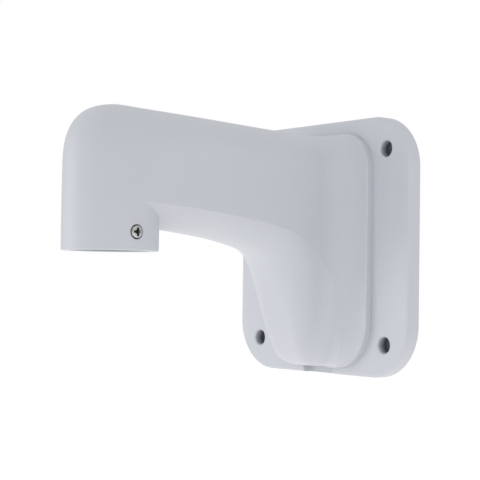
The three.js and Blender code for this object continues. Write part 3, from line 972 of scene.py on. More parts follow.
    def arm_rows(self, y: Array, grow: float = 0.0, drawn: Array | None = None) -> Array:
        """Upright rings along the arm; their lower halves start round the back of the neck.

        Args:
            y: Where each ring's size is read.
            grow: How far each ring is grown outwards.
            drawn: Where each ring is drawn, if that is elsewhere.

        Returns:
            The rings.
        """
        drawn = y if drawn is None else drawn
        upper = respace(self.boxed_half(y, grow), self.upper_steps)
        upper[..., 1] = drawn[:, None]
        turn = quarter(self.lower_steps)[None, :]
        t = np.clip((y - self.axis) / (self.upright - self.axis), 0, 1)
        ease = (1 - t * t * (3 - 2 * t))[:, None]
        w = self.side_at(y, smooth_curve(self.fold, y))[:, None]
        x, back = w * np.cos(turn), self.radius * np.sin(turn) * ease
        z = self.lower_at(x, y[:, None] + back) - grow
        lower = np.stack([x, drawn[:, None] + back, z], axis=2)
        return mirror_ring(np.concatenate([upper, lower[:, 1:]], axis=1))


@dataclass(frozen=True)
class OuterForm(Gooseneck):
    """The arm's outside: it flares into its foot and scoops down under the belly.

    Attributes:
        flare: Y where the sides begin to flare.
        foot: Half the foot's width inside its edge rounding.
        belly_corner: Width of the belly's corner as a share of the half width.
        belly_turn: How far the belly's arc turns, in half turns.
    """

    flare: float = -34.2
    foot: float = 52.0
    belly_corner: Stations = ((-181, 1), (-60, 0.88), (-45, 0.66), (-30, 0.75),
                              (FOOT_FRONT, 0.6))
    belly_turn: Stations = ((-181, 0.3), (-100, 0.31), (-60, 0.33), (-34, 0.36),
                            (FOOT_FRONT, 0.42))

    def half_width(self, y: Array) -> Array:
        """Straight as far as the flare, then a quarter ellipse out to the foot's edge."""
        t = np.clip((y - self.flare) / (FOOT_FRONT - self.flare), 0, 1)
        return self.radius + (self.foot - self.radius) * (1 - np.sqrt(1 - t * t))

    def lower_at(self, x: Array, y: Array) -> Array:
        """Fold + (belly - fold) (cos b - cos a) / (1 - cos a), b the arc's turn at X.

        Args:
            x: Distance from the middle.
            y: Where the section is.

        Returns:
            Height of the lower half.
        """
        w = self.side_at(y, smooth_curve(self.fold, y))
        corner = smooth_curve(self.belly_corner, y) * w
        across = np.clip((np.abs(x) - w + corner) / corner, 0, 1)
        angle = smooth_curve(self.belly_turn, y) * math.pi
        turned = np.arcsin(np.clip(across * np.sin(angle), -1, 1))
        share = (np.cos(turned) - np.cos(angle)) / (1 - np.cos(angle))
        fold = smooth_curve(self.fold, y)
        return fold + (smooth_curve(self.belly, y) - fold) * share


@dataclass(frozen=True)
class InnerForm(Gooseneck):
    """The hollow inside: the outside's curves, one wall in, without the flare.

    Its attributes are those of the form it comes from.
    """

    radius: float = 25.4
    bottom: float = 19.0
    dome_height: float = 31.5
    crest: Stations = ((-181, 78.7), (-150, 76.4), (-110, 74.5), (-64, 72.2), (-38, 71.1),
                       (FOOT_FRONT, 70.3))
    corner: Stations = ((-181, 25.4), (-140, 16.5), (-34.2, 16.5), (FOOT_FRONT, 18.5))
    drop: Stations = ((-181, 31.5), (-140, 16.5), (-34.2, 16.5), (FOOT_FRONT, 18.5))
    fold: Stations = ((-181, 27.5), (-150, 24.6), (-85, 17.5), (-59.5, 13), (-45.5, 7),
                      (-29.5, -6), (-21.5, -21), (-17.5, -42), (FOOT_BACK, -52))
    belly: Stations = ((-181, 20), (-150, 13), (-100, 7.2), (-79, 3), (-68, -1.5),
                       (-60, -8), (-53, -18), (-45.5, -34), (-38, -48), (-30, -52),
                       (FOOT_BACK, -52))
    flat: float = 13.4
    floor: float = -52.0

    def lower_at(self, x: Array, y: Array) -> Array:
        """A half ellipse: fold + (belly - fold) times the root of 1 - (x / w)^2.

        Args:
            x: Distance from the middle.
            y: Where the section is.

        Returns:
            Height of the lower half.
        """
        fold = smooth_curve(self.fold, y)
        wide = self.side_at(y, fold)
        round_share = np.sqrt(np.clip(1 - (x / wide) ** 2, 0, 1))
        return fold + (smooth_curve(self.belly, y) - fold) * round_share


@dataclass(frozen=True)
class NeckMouth:
    """The threaded mouth of the neck, from its outer edge up to the hollow.

    Attributes:
        low: Z of the rim.
        edge: Radius of the rim's outer edge.
        major: Radius at the thread's roots.
        minor: Radius at its crests.
        pitch: Rise of one turn.
        top: Z where the thread's relief ends.
        shoulder: Radius of the ring above it.
    """

    low: float = -6.8
    edge: float = 0.8
    major: float = 23.9
    minor: float = 22.42
    pitch: float = 2.309
    top: float = 15.0
    shoulder: float = 20.0

    def rows(self, form: Gooseneck, angle: Array, hollow: float) -> Array:
        """Rings from the neck's outside, in over the rim and up the thread to the hollow.

        The thread's radius is major - (major - minor) s w^0.8. The wave w is
        (1 + cos(2 pi z / pitch - a)) / 2, and the swell s falls to nothing at both ends.

        Args:
            form: The neck's outside.
            angle: Angle of each column about the neck's axis.
            hollow: Radius of the hollow above the shoulder.

        Returns:
            The rings.
        """
        turn = quarter(4)[1:]
        edge = [(form.radius - self.edge * (1 - math.cos(a)), self.low + self.edge
                 * (1 - math.sin(a))) for a in turn]
        lead = [(25.6, self.low), (25.2, self.low), (self.major, self.low + 1.4),
                (self.major, self.low + 1.7)]
        rise = np.linspace(self.low + 2.0, self.top - 2.6, 66)
        swell = np.clip(np.minimum(rise - rise[0], rise[-1] - rise) / 1.2, 0, 1)[:, None]
        wave = 0.5 + 0.5 * np.cos(2 * math.pi * rise[:, None] / self.pitch - angle[None, :])
        thread = self.major - (self.major - self.minor) * swell * wave ** 0.8
        above = [(self.major, self.top - 2.3), (self.major, self.top - 0.2),
                 (self.major - 0.2, self.top), (self.shoulder + 0.3, self.top),
                 (self.shoulder, self.top + 0.3), (self.shoulder, 18.7),
                 (self.shoulder + 0.3, 19.0), (hollow - 0.4, 19.0)]
        flat = [np.array(edge + lead), np.array(above)]
        radius = np.concatenate([flat[0][:, :1] + 0 * angle, thread, flat[1][:, :1] + 0 * angle])
        height = np.concatenate([flat[0][:, 1], rise, flat[1][:, 1]])[:, None] + 0 * angle
        return np.stack([radius * np.cos(angle), form.axis + radius * np.sin(angle), height],
                        axis=2)


def relax_rows(rows: Array, passes: int, keep: int = 2) -> Array:
    """Round creases across the rings: each point moves to 1/4, 1/2, 1/4 of its column.

    Args:
        rows: The rings.
        passes: How often.
        keep: Rings held at each end.

    Returns:
        The relaxed rings.
    """
    rows = rows.copy()
    for _ in range(passes):
        mean = rows[:-2] / 4 + rows[1:-1] / 2 + rows[2:] / 4
        rows[keep:-keep] = mean[keep - 1:len(mean) - keep + 1]
    return rows


def relax_ring(rows: Array, middle: int, spread: float, passes: int) -> Array:
    """Round the fold line: points near its columns move towards the mean of their neighbours.

    Args:
        rows: The rings.
        middle: Column of the fold on the right side.
        spread: How many columns either side are moved.
        passes: How often.

    Returns:
        The relaxed rings.
    """
    wide = rows.shape[1]
    column = np.arange(wide)
    share = sum(np.exp(-((column - at) / spread) ** 2) for at in (middle, wide - middle))
    share = np.clip(share, 0, 1)[None, :, None]
    for _ in range(passes):
        mean = np.roll(rows, 1, axis=1) / 4 + rows / 2 + np.roll(rows, -1, axis=1) / 4
        rows = rows * (1 - share) + mean * share
    return rows


@dataclass(frozen=True)
class ScrewPlace:
    """Where the foot screws stand, and their holes.

    Attributes:
        places: X and Z of each.
        hole: Radius of the clearance hole.
        hole_end: Y where the holes end in the arm.
    """

    places: tuple[tuple[float, float], ...] = ((34, 56), (-34, 56), (-31, -60), (31, -60))
    hole: float = 2.7
    hole_end: float = -17.2


@dataclass
class ArmCasting:
    """The hollow arm with its threaded neck, its foot, its seal groove and screw holes.

    Attributes:
        outer: The outside.
        inner: The hollow.
        mouth: The neck's mouth.
        lip: Radius of the foot's edge rounding.
        lock_floor: X of the floor of their counterbores.
        lock_bore: Radius of the counterbores.
        lock_hole: Radius of the screw holes.
        boss: Y, radius and length of the hook's boss.
        groove: Inset, width and depth of the foot seal's groove.
        screws: The foot screws' places.
    """

    outer: OuterForm = field(default_factory=OuterForm)
    inner: InnerForm = field(default_factory=InnerForm)
    mouth: NeckMouth = field(default_factory=NeckMouth)
    lip: float = 1.0
    lock_floor: float = 27.0
    lock_bore: float = 4.45
    lock_hole: float = 2.2
    boss: tuple[float, float, float] = (HOOK_Y, 6.0, 6.0)
    groove: tuple[float, float, float] = (4.6, 3.0, 1.8)
    screws: ScrewPlace = field(default_factory=ScrewPlace)

    def outside(self) -> Array:
        """Rings of the outside, from the neck's bottom to the foot's back."""
        form = self.outer
        fine = np.linspace(form.flare, FOOT_FRONT, 900)
        change = np.diff(np.stack([fine, form.half_width(fine), smooth_curve(form.fold, fine)
                                   / 4]), axis=1)
        run = np.concatenate([[0.0], np.cumsum(np.linalg.norm(change, axis=0))])
        flare = np.interp(np.linspace(0, run[-1], 44), run, fine)
        bend = form.axis + (form.throat - form.axis) * np.linspace(0, 1, 52) ** 1.5
        scoop = -64.0
        y = np.concatenate([bend, np.linspace(form.throat, scoop, 24)[1:],
                            np.linspace(scoop, form.flare, 30)[1:], flare[1:]])
        rows = np.concatenate([form.neck_rows(np.linspace(0, 1, 49)[:-1]), form.arm_rows(y)])
        rows = relax_ring(rows, form.upper_steps, 1.2, 1)
        rows[:-4] = relax_rows(rows, 6)[:-4]
        end = np.array([FOOT_FRONT])
        lip = [form.arm_rows(end, self.lip * math.sin(a), end + self.lip * (1 - math.cos(a)))
               for a in quarter(5)[1:]]
        lip.append(form.arm_rows(end, self.lip, np.array([FOOT_BACK])))
        return np.concatenate([rows, *lip])

    def inside(self) -> Array:
        """Rings of the hollow, from the neck's shoulder to the foot's back."""
        form = self.inner
        bend = form.axis + (form.throat - form.axis) * np.linspace(0, 1, 26) ** 1.3
        y = np.concatenate([bend, np.linspace(form.throat, -28, 40)[1:],
                            np.linspace(-27, FOOT_BACK, 16)])
        rows = np.concatenate([form.neck_rows(np.linspace(0, 1, 24)[:-1]), form.arm_rows(y)])
        return relax_rows(relax_ring(rows, form.upper_steps, 4.0, 6), 8)

    def cutters(self) -> list[bpy.types.Object]:
        """Solids cut out of the casting: screw holes, seal groove and the cable arch."""
        made = []
        for side, along in ((1, "x"), (-1, "-x")):
            place = (side * self.lock_floor, self.outer.axis, LOCK_Z)
            bore = [(self.lock_hole, -6.5), (self.lock_hole, 0.0), (self.lock_bore - 0.3, 0.0),
                    (self.lock_bore, 0.3), (self.lock_bore, 2.5), (self.lock_bore + 0.2, 3.1),
                    (self.lock_bore + 0.8, 6.0)]
            made.append(turned("lock_bore", bore, along, place, 48))
        for x, z in self.screws.places:
            depth = FOOT_BACK - self.screws.hole_end
            hole = [(self.screws.hole - 0.8, -depth - 0.6), (self.screws.hole, -depth),
                    (self.screws.hole, -0.5), (self.screws.hole + 1.0, 0.5)]
            made.append(turned("foot_hole", hole, "y", (x, FOOT_BACK, z)))
        inset, width, depth = self.groove
        made.append(foot_ring("seal_groove", inset, width, FOOT_BACK - depth, FOOT_BACK + 1))
        arch = np.array([(-17, -83), (17, -83), (11.5, -79.6), (10, -79.2), (-10, -79.2),
                         (-11.5, -79.6)], float)
        made.append(slab("cable_arch", arch, FOOT_BACK + 1, FOOT_FRONT - 1))
        return made

    def hook_boss(self) -> bpy.types.Object:
        """The boss under the roof that the hook is screwed to."""
        y, radius, length = self.boss
        roof = float(smooth_curve(self.inner.crest, [y])[0])
        ring = [(2.4, 1.5), (2.4, -length + 0.5), (2.9, -length), (radius - 0.6, -length),
                (radius, -length + 0.6), (radius + 0.4, -1.5), (radius + 1.2, -0.3),
                (radius + 2.4, 0.8), (radius + 2.4, 1.5)]
        shell = Shell().grid(lay(lathe(ring, 48), "z", (0, y, roof)), close_rows=True)
        return piece_from(shell, "hook_boss")

    def recess_shade(self, at: Array) -> Array:
        """Painted shade, near black, inside the neck's threaded mouth.

        Args:
            at: Points of the casting.

        Returns:
            1 inside the mouth, where shade is painted, 0 elsewhere.
        """
        away = np.hypot(at[:, 0], at[:, 1] - self.outer.axis)
        inside = (away < self.mouth.major + 0.9) & (at[:, 2] < self.mouth.top + 5.0)
        return inside.astype(float)

    def build(self, wardrobe: Wardrobe) -> None:
        """Build, cut and dress the casting.

        Args:
            wardrobe: The materials.
        """
        outside = self.outside()
        angle = np.arctan2(outside[0, :, 1] - self.outer.axis, outside[0, :, 0])
        mouth = self.mouth.rows(self.outer, angle, self.inner.radius)
        rows = np.concatenate([outside[::-1], mouth, self.inside()])
        casting = piece_from(Shell().grid(rows, close_rows=True), "arm_casting_fine")
        cut(casting, *self.cutters())
        cut(casting, self.hook_boss(), how="UNION")
        shade(casting)
        mark_edges(casting, 1.6)
        # Painted shade, near black, inside the neck's threaded mouth.
        mark_deep(casting, self.recess_shade)
        wardrobe.dress(casting, Slot.POWDER, "root", "arm_casting")


def foot_ring(name: str, inset: float, width: float, front: float, back: float,
              edge: float = 0.0) -> bpy.types.Object:
    """A flat ring that follows the foot's outline, set in from it.

    Args:
        name: Name of the piece.
        inset: How far its outer side is set in.
        width: Its width.
        front: Y of its front face.
        back: Y of its back face.
        edge: Rounding of its four edges.

    Returns:
        The ring.
    """
    half, low, high, top, bottom = FOOT_EDGE
    outline, facing = rounded_rectangle(half - inset, low + inset, high - inset, top - inset,
                                        bottom - inset)
    return ring_piece(name, outline, facing, width, front, back, edge)


def ring_piece(name: str, outline: Array, facing: Array, width: float, front: float,
               back: float, edge: float) -> bpy.types.Object:
    """A ring of rectangular section with rounded edges, swept round an outline.

    Each point of the section is a distance in and a Y, so the ring keeps its width round the
    corners.

    Args:
        name: Name of the piece.
        outline: Outer points (x, z).
        facing: Outward direction at each.
        width: Width of the section.
        front: Y of its front.
        back: Y of its back.
        edge: Rounding of its edges.

    Returns:
        The ring.
    """
    steps = 3 if edge else 0
    turn = quarter(steps) if steps else np.array([math.pi / 4])
    section = []
    for inward, y, start in ((edge, front + edge, -math.pi), (width - edge, front + edge,
                             -math.pi / 2), (width - edge, back - edge, 0.0),
                             (edge, back - edge, math.pi / 2)):
        section += [(inward + edge * math.cos(a + start), y + edge * math.sin(a + start))
                    for a in turn]
    rows = inset_rows(outline, facing, section)
    return piece_from(Shell().grid(rows, close_rows=True), name)


# ---- the wall plate ---------------------------------------------------------------------


@dataclass
class WallPlate:
    """The square plate: rounded front edge, four wall holes, cable opening and ribbed back.

    Attributes:
        half_x: Half the width.
        half_z: Half the height.
        corner: Corner radius.
        thickness: Front to back.
        front_edge: Rounding of the front edge.
        web: Thickness left in front of the pockets.
        rim: Width of the rim round the pockets.
        hole_at: Half the spacing of the wall holes.
        hole: Radius of the wall holes.
        bore: Radius of their counterbores.
        seat: Y of the counterbores' floors.
        flare: Rounding of the counterbores' mouths.
        opening: Half width, low, high and corner of the cable opening.
        channel: Half width and depth of the cable channel.
        boss: Radius of the wall holes' bosses.
        pad: Radius of the foot screws' pads.
        collar: Thickness of the wall round the cable opening.
        block: Half width of the block behind the cable channel.
        rib: Thickness of the ribs.
        rib_back: Y of their backs.
        cross_ribs: Heights of the ribs beside the opening.
        upright_ribs: X of the ribs above it.
        groove: Inset, width and depth of the gasket's groove.
        screws: The foot screws' places.
    """

    half_x: float = 87.0
    half_z: float = 86.5
    corner: float = 35.0
    thickness: float = 10.0
    front_edge: float = 2.4
    web: float = 4.5
    rim: float = 12.0
    hole_at: float = 64.5
    hole: float = 3.4
    bore: float = 5.3
    seat: float = -3.0
    flare: float = 1.5
    opening: tuple[float, float, float, float] = (24.0, -50.0, 62.0, 12.0)
    channel: tuple[float, float] = (15.0, 6.0)
    boss: float = 10.0
    pad: float = 6.0
    collar: float = 4.0
    block: float = 19.0
    rib: float = 2.5
    rib_back: float = -0.8
    cross_ribs: tuple[float, ...] = (-28.0, 6.0, 40.0)
    upright_ribs: tuple[float, ...] = (-12.0, 12.0)
    groove: tuple[float, float, float] = (2.9, 5.6, 2.9)
    screws: ScrewPlace = field(default_factory=ScrewPlace)

    def outline(self, inset: float, arc: int = 28, straight: int = 12) -> tuple[Array, Array]:
        """The plate's outline and outward directions, set in by a distance."""
        return rounded_rectangle(self.half_x - inset, -self.half_z + inset,
                                 self.half_z - inset, self.corner - inset,
                                 self.corner - inset, arc, straight)

    def edge_rows(self) -> Array:
        """Rings round the plate's edge, from its back face to its front face."""
        r, front = self.front_edge, -self.thickness
        rows = [(1.0, 0.0), (0.5, 0.0), (0.0, -0.5)]
        rows += [(r * (1 - math.cos(a)), front + r * (1 - math.sin(a))) for a in quarter(8)]
        rows.append((r + 0.5, front))
        return inset_rows(*self.outline(0.0), rows)

    def hole_rows(self, x: float, z: float) -> Array:
        """Rings down a wall hole: rounded mouth, counterbore, seat, hole and back chamfer.

        Args:
            x: X of the hole.
            z: Z of the hole.

        Returns:
            The rings.
        """
        f, front = self.flare, -self.thickness
        profile = [(self.bore + f + 0.5, front)]
        profile += [(self.bore + f * (1 - math.sin(a)), front + f * (1 - math.cos(a)))
                    for a in quarter(6)]
        profile += [(self.bore, self.seat - 0.5), (self.bore - 0.15, self.seat - 0.15),
                    (self.bore - 0.5, self.seat), (self.hole + 0.3, self.seat),
                    (self.hole, self.seat + 0.3), (self.hole, -0.4), (self.hole + 0.4, 0.0),
                    (self.hole + 0.8, 0.0)]
        return lay(lathe(profile, 56), "y", (x, 0, z))

    def pocket(self) -> bpy.types.Object:
        """The hollow in the back, less the bosses, the collar, the ribs and the cable block."""
        floor = self.web - self.thickness
        under = floor - 1
        hollow = slab("pocket", self.outline(self.rim, 12, 4)[0], 1.0, floor)
        wide, low, high, corner = self.opening
        wall = self.collar
        collar = rounded_rectangle(wide + wall, low - wall, high + wall, corner + wall,
                                   corner + wall, 8, 2)[0]
        walls = [slab("collar", collar, 2.0, under)]
        for x, z in self.wall_places():
            boss = [(self.boss + 0.6, under), (self.boss, 2.0)]
            walls.append(turned("boss", boss, "y", (x, 0, z), 40))
        for x, z in self.screws.places:
            if abs(x) > wide + wall:
                pad = [(self.pad + 0.2, under), (self.pad, floor)]
                walls.append(turned("pad", pad, "y", (x, 0, z)))
        block = oblong(-self.block, self.block, -self.half_z, low)
        walls.append(slab("cable_block", block, 2.0, under))
        half = self.rib / 2
        ribs = [(*sorted((side * wide, side * self.half_x)), z - half, z + half)
                for z in self.cross_ribs for side in (-1, 1)]
        ribs += [(x - half, x + half, high, self.half_z) for x in self.upright_ribs]
        walls += [slab("rib", oblong(*rib), self.rib_back, under) for rib in ribs]
        cut(hollow, *walls)
        return hollow

    def wall_places(self) -> list[tuple[float, float]]:
        """X and Z of the wall holes."""
        return [(x * self.hole_at, z * self.hole_at) for x, z in ((1, 1), (-1, 1), (-1, -1),
                                                                  (1, -1))]

    def channel_cutter(self) -> bpy.types.Object:
        """The cable channel: a U with filleted floor and chamfered edges, run along Z."""
        half, depth = self.channel
        front, floor, fillet, chamfer = -self.thickness, depth - self.thickness, 1.2, 0.7
        arc = quarter(5)
        right = [(half + chamfer + 2, front - 2), (half, front + chamfer)]
        right += [(half - fillet * (1 - math.cos(a)), floor - fillet * (1 - math.sin(a)))
                  for a in arc]
        section = np.array(right + [(-x, y) for x, y in right[::-1]])
        low, high = -self.half_z - 1, self.opening[1] + 8
        rows = np.array([np.stack([section[:, 0], section[:, 1],
                                   np.full(len(section), z)], axis=1) for z in (low, high)])
        return piece_from(Shell().grid(rows), "channel", ((2, low), (2, high)))

    def opening_cutter(self) -> bpy.types.Object:
        """The cable opening, straight through."""
        wide, low, high, corner = self.opening
        outline = rounded_rectangle(wide, low, high, corner, corner, 12, 4)[0]
        return slab("opening", outline, 1.0, -self.thickness - 1)

    def recess_shade(self, at: Array) -> Array:
        """Painted shade, near black, in the wall holes, from just inside their mouths to the back.

        Args:
            at: Points of the plate.

        Returns:
            From 0, none, to 1, full painted shade.
        """
        share = np.zeros(len(at))
        for x, z in self.wall_places():
            inside = np.hypot(at[:, 0] - x, at[:, 2] - z) < self.bore + 0.4
            deep = np.clip((at[:, 1] + self.thickness - 1.2) / 1.6, 0, 1)
            share = np.maximum(share, inside * deep)
        return share

    def build(self, wardrobe: Wardrobe) -> None:
        """Build, cut and dress the plate.

        Args:
            wardrobe: The materials.
        """
        shell = Shell().grid(self.edge_rows())
        for x, z in self.wall_places():
            shell.grid(self.hole_rows(x, z))
        plate = piece_from(shell, "wall_plate_fine", ((1, 0.0), (1, -self.thickness)))
        cutters = [self.pocket(), self.opening_cutter(), self.channel_cutter()]
        for x, z in self.screws.places:
            hole = [(self.screws.hole, -self.thickness - 1), (self.screws.hole, 1.0)]
            cutters.append(turned("screw_hole", hole, "y", (x, 0, z)))
        inset, width, depth = self.groove
        outline, facing = self.outline(inset)
        cutters.append(ring_piece("gasket_groove", outline, facing, width, -depth, 1.0, 0.0))
        cut(plate, *cutters)
        shade(plate)
        mark_edges(plate, 1.6)
        # Painted shade, near black, inside the wall holes.
        mark_deep(plate, self.recess_shade)
        wardrobe.dress(plate, Slot.POWDER, "root", "wall_plate")


# ---- seals and plug ---------------------------------------------------------------------


@dataclass
class Seals:
    """The rubber pieces: wall gasket, foot seal, neck seal and cable plug.

    Attributes:
        gasket: Inset, width, depth and edge rounding of the wall gasket.
        foot: The same four sizes of the foot seal.
        neck: Radius, half width, height and half thickness of the neck seal.
        body: Half width, front, back, low and high of the plug's block.
        lug: The same five sizes of the lug under it.
        corner: Corner radius of both.
        way: Profile of the flared way for the cable.
        grooves: Heights of the grooves across the plug's front.
    """

    gasket: tuple[float, ...] = (3.2, 5.0, 2.6, 0.7)
    foot: tuple[float, ...] = (4.9, 2.4, 1.5, 0.5)
    neck: tuple[float, ...] = (22.0, 1.65, 13.5, 1.18)
    body: tuple[float, ...] = (14.7, -9.7, -4.3, -75.0, -63.0)
    lug: tuple[float, ...] = (11.7, -8.5, -5.5, -77.5, -74.5)
    corner: float = 0.9
    way: Stations = ((1.4, -14.0), (1.4, 0.5), (2.4, 1.6), (2.4, 3.0))
    grooves: tuple[float, ...] = (-72.4, -69.0, -65.6)

    def build(self, wardrobe: Wardrobe) -> None:
        """Build and dress every seal.

        Args:
            wardrobe: The materials.
        """
        inset, width, depth, edge = self.gasket
        outline, facing = WallPlate().outline(inset)
        gasket = ring_piece("wall_gasket_fine", outline, facing, width, -depth, 0.0, edge)
        inset, width, depth, edge = self.foot
        foot = foot_ring("foot_seal_fine", inset, width, FOOT_BACK - depth, FOOT_BACK, edge)
        radius, half, height, thick = self.neck
        ring = [(radius + half * math.cos(a), height + thick * math.sin(a))
                for a in np.linspace(0, 2 * math.pi, 17)[:-1]]
        neck = piece_from(Shell().grid(lay(lathe(ring, 96), "z", (0, NECK_AXIS, 0)),
                                       close_rows=True), "neck_seal_fine")
        for piece, node in ((gasket, "wall_gasket"), (foot, "foot_seal"), (neck, "neck_seal")):
            shade(piece, 50)
            wardrobe.dress(piece, Slot.BLACK_RUBBER, "root", node)
        self.plug(wardrobe)

    def plug(self, wardrobe: Wardrobe) -> None:
        """The plug in the cable channel: rounded block, lug, and a way ringed by a lip.

        Args:
            wardrobe: The materials.
        """
        plug, lug = [slab("plug_block", rounded_rectangle(half, low, high, self.corner,
                                                          self.corner, 4, 4)[0], back, front)
                     for half, front, back, low, high in (self.body, self.lug)]
        cut(plug, lug, how="UNION")
        plug.name = "cable_entry_plug_fine"
        for along, z in (("z", -64.0), ("-z", -76.5)):
            cut(plug, turned("way", self.way, along, (0, -7.0, z)))
        for z in self.grooves:
            groove = rounded_rectangle(20.0, z - 0.4, z + 0.4, 0.3, 0.3, 2, 2)[0]
            cut(plug, slab("groove", groove, -9.2, -11.0))
        soften(plug, 0.35)
        shade(plug)
        wardrobe.dress(plug, Slot.GREY_RUBBER, "root", "cable_entry_plug")


# ---- screws, washers and hook -----------------------------------------------------------


@dataclass(frozen=True)
class PanScrew:
    """A pan-head screw with a cross recess and a rolled thread, made about +Z.

    Attributes:
        shank: Radius at the thread's crests.
        head: Radius of the head.
        height: Height of the head.
        length: Length under the head.
        pitch: Rise of one turn of the thread.
    """

    shank: float
    head: float
    height: float
    length: float
    pitch: float

    def thread(self) -> Array:
        """The threaded shank: radius is crest less depth times a wave of height and angle."""
        depth = 0.54 * self.pitch
        angle = np.linspace(0, 2 * math.pi, 40, endpoint=False)
        z = np.linspace(-self.length + 0.7, -0.5, int(self.length / self.pitch * 10))
        fade = np.clip((z - z[0]) / self.pitch, 0.25, 1)[:, None]
        end = np.clip((z[-1] - z) / (0.6 * self.pitch), 0, 1)[:, None]
        turn = 2 * math.pi * z[:, None] / self.pitch - angle[None, :]
        wave = 0.5 + 0.5 * np.cos(turn)
        radius = (self.shank - depth * wave ** 0.8 * end) * (0.86 + 0.14 * fade)
        return np.stack([radius * np.cos(angle), radius * np.sin(angle),
                         z[:, None] + 0 * angle], axis=2)

    def head_rows(self) -> Array:
        """The head: flat underside, short side and a crown that eases into a flat top."""
        side, crown = 0.42 * self.height, 0.58 * self.height
        profile = [(self.shank, -0.5), (self.shank, -0.15), (self.shank + 0.15, 0.0),
                   (self.head - 0.15, 0.0), (self.head, 0.15), (self.head, side)]
        profile += [(self.head * (0.62 + 0.38 * math.cos(a)), side + crown * math.sin(a))
                    for a in quarter(7)[1:]]
        profile.append((0.0, self.height))
        return lathe(profile, 40)

    def recess(self) -> bpy.types.Object:
        """A cross recess: two crossed blades that narrow as they go in, on a conical core."""
        arm, thick, depth = self.head * 0.82, self.head * 0.21, self.height * 0.72
        top, low = self.height + 0.3, self.height - depth
        blades = []
        for crossed in (False, True):
            rows = []
            for z, a, t in ((low, arm * 0.42, thick * 0.6), (top, arm, thick)):
                corners = [(-a, -t), (a, -t), (a, t), (-a, t)]
                rows.append([(y, x, z) if crossed else (x, y, z) for x, y in corners])
            blades.append(piece_from(Shell().grid(np.array(rows, float)), "blade",
                                     ((2, low), (2, top))))
        core = [(arm * 0.2, low - 0.25), (arm * 0.56, top)]
        cut(blades[0], blades[1], turned("core", core, "z", (0, 0, 0), 16), how="UNION")
        return blades[0]

    def recess_darkening(self, at: Array) -> Array:
        """How dark the metal is made: darker the deeper below the crown in the recess.

        Args:
            at: Points of the screw.

        Returns:
            From 0, unchanged, to 1, darkest.
        """
        away = np.hypot(at[:, 0], at[:, 1])
        crown = self.height * (1 - 0.25 * (away / self.head) ** 2)
        within = (away < self.head * 0.88) & (at[:, 2] > 0.05)
        return within * np.clip((crown - at[:, 2]) / (0.3 * self.height), 0, 1)

    def build(self, name: str, along: str, at: Sequence[float]) -> bpy.types.Object:
        """Build the screw with its seat at a place and its head pointing a way.

        Args:
            name: Name of the piece.
            along: Where the head points.
            at: Centre of the seat.

        Returns:
            The screw.
        """
        tip = [(0.0, -self.length), (self.shank * 0.62, -self.length),
               (self.shank * 0.80, -self.length + 0.5)]
        rows = np.concatenate([lathe(tip, 40), self.thread(), self.head_rows()])
        screw = piece_from(Shell().grid(rows), name)
        cut(screw, self.recess())
        # Darker the deeper into the cross recess.
        mark_deep(screw, self.recess_darkening)
        count = len(screw.data.vertices)
        at_rest = np.empty(count * 3)
        screw.data.vertices.foreach_get("co", at_rest)
        placed = lay(at_rest.reshape(-1, 3) / MM, along, at) * MM
        screw.data.vertices.foreach_set("co", placed.ravel())
        screw.data.update()
        shade(screw, 35)
        return screw


def washer(name: str, size: Sequence[float], along: str, at: Sequence[float]
           ) -> bpy.types.Object:
    """Make a washer with eased edges.

    Args:
        name: Name of the piece.
        size: Inner radius, outer radius, height and easing.
        along: Where it faces, as for lay.
        at: Centre of its underside.

    Returns:
        The washer.
    """
    inner, outer, height, edge = size
    profile = [(inner + edge, 0.0), (outer - edge, 0.0), (outer, edge), (outer, height - edge),
               (outer - edge, height), (inner + edge, height), (inner, height - edge),
               (inner, edge)]
    piece = piece_from(Shell().grid(lay(lathe(profile, 56), along, at), close_rows=True), name)
    shade(piece)
    return piece


@dataclass
class Fasteners:
    """Foot screws, lock screws and their washers.

    Attributes:
        foot: The foot screw.
        lock: The lock screw.
        screws: The foot screws' places.
        foot_washer: Inner radius, outer radius, height and easing of the foot screws' washer.
        lock_washer: The same four sizes of the lock screws' washer.
        foot_seat: Y of the foot screws' washers.
        foot_head: How far their heads sit from there, towards the wall.
        lock_seat: X of the lock screws' washers.
        lock_head: How far their heads sit from there, outwards.
    """

    foot: PanScrew = PanScrew(2.4, 4.7, 2.9, 12.0, 0.8)
    lock: PanScrew = PanScrew(1.9, 3.85, 2.6, 8.0, 0.7)
    screws: ScrewPlace = field(default_factory=ScrewPlace)
    foot_washer: tuple[float, ...] = (2.7, 4.3, 1.2, 0.15)
    lock_washer: tuple[float, ...] = (2.2, 4.0, 0.9, 0.25)
    foot_seat: float = -5.2
    foot_head: float = 1.5
    lock_seat: float = 27.3
    lock_head: float = 1.2

    def build(self, wardrobe: Wardrobe) -> None:
        """Build and dress the fasteners.

        Args:
            wardrobe: The materials.
        """
        for k, (x, z) in enumerate(self.screws.places, 1):
            ring = washer(f"foot_screw_washer_fine_{k}", self.foot_washer, "y",
                          (x, self.foot_seat, z))
            wardrobe.dress(ring, Slot.ZINC, "root", f"foot_screw_washer_{k}")
            screw = self.foot.build(f"foot_screw_fine_{k}", "y",
                                    (x, self.foot_seat + self.foot_head, z))
            wardrobe.dress(screw, Slot.STAINLESS, "root", f"foot_screw_{k}")
        for word, side, along in (("right", 1, "x"), ("left", -1, "-x")):
            ring = washer(f"lock_washer_fine_{word}", self.lock_washer, along,
                          (side * self.lock_seat, NECK_AXIS, LOCK_Z))
            wardrobe.dress(ring, Slot.BLACK_RUBBER, f"{word}_washer", f"lock_washer_{word}")
            at = (side * (self.lock_seat + self.lock_head), NECK_AXIS, LOCK_Z)
            screw = self.lock.build(f"lock_screw_fine_{word}", along, at)
            wardrobe.dress(screw, Slot.STAINLESS, f"{word}_screw", f"lock_screw_{word}")


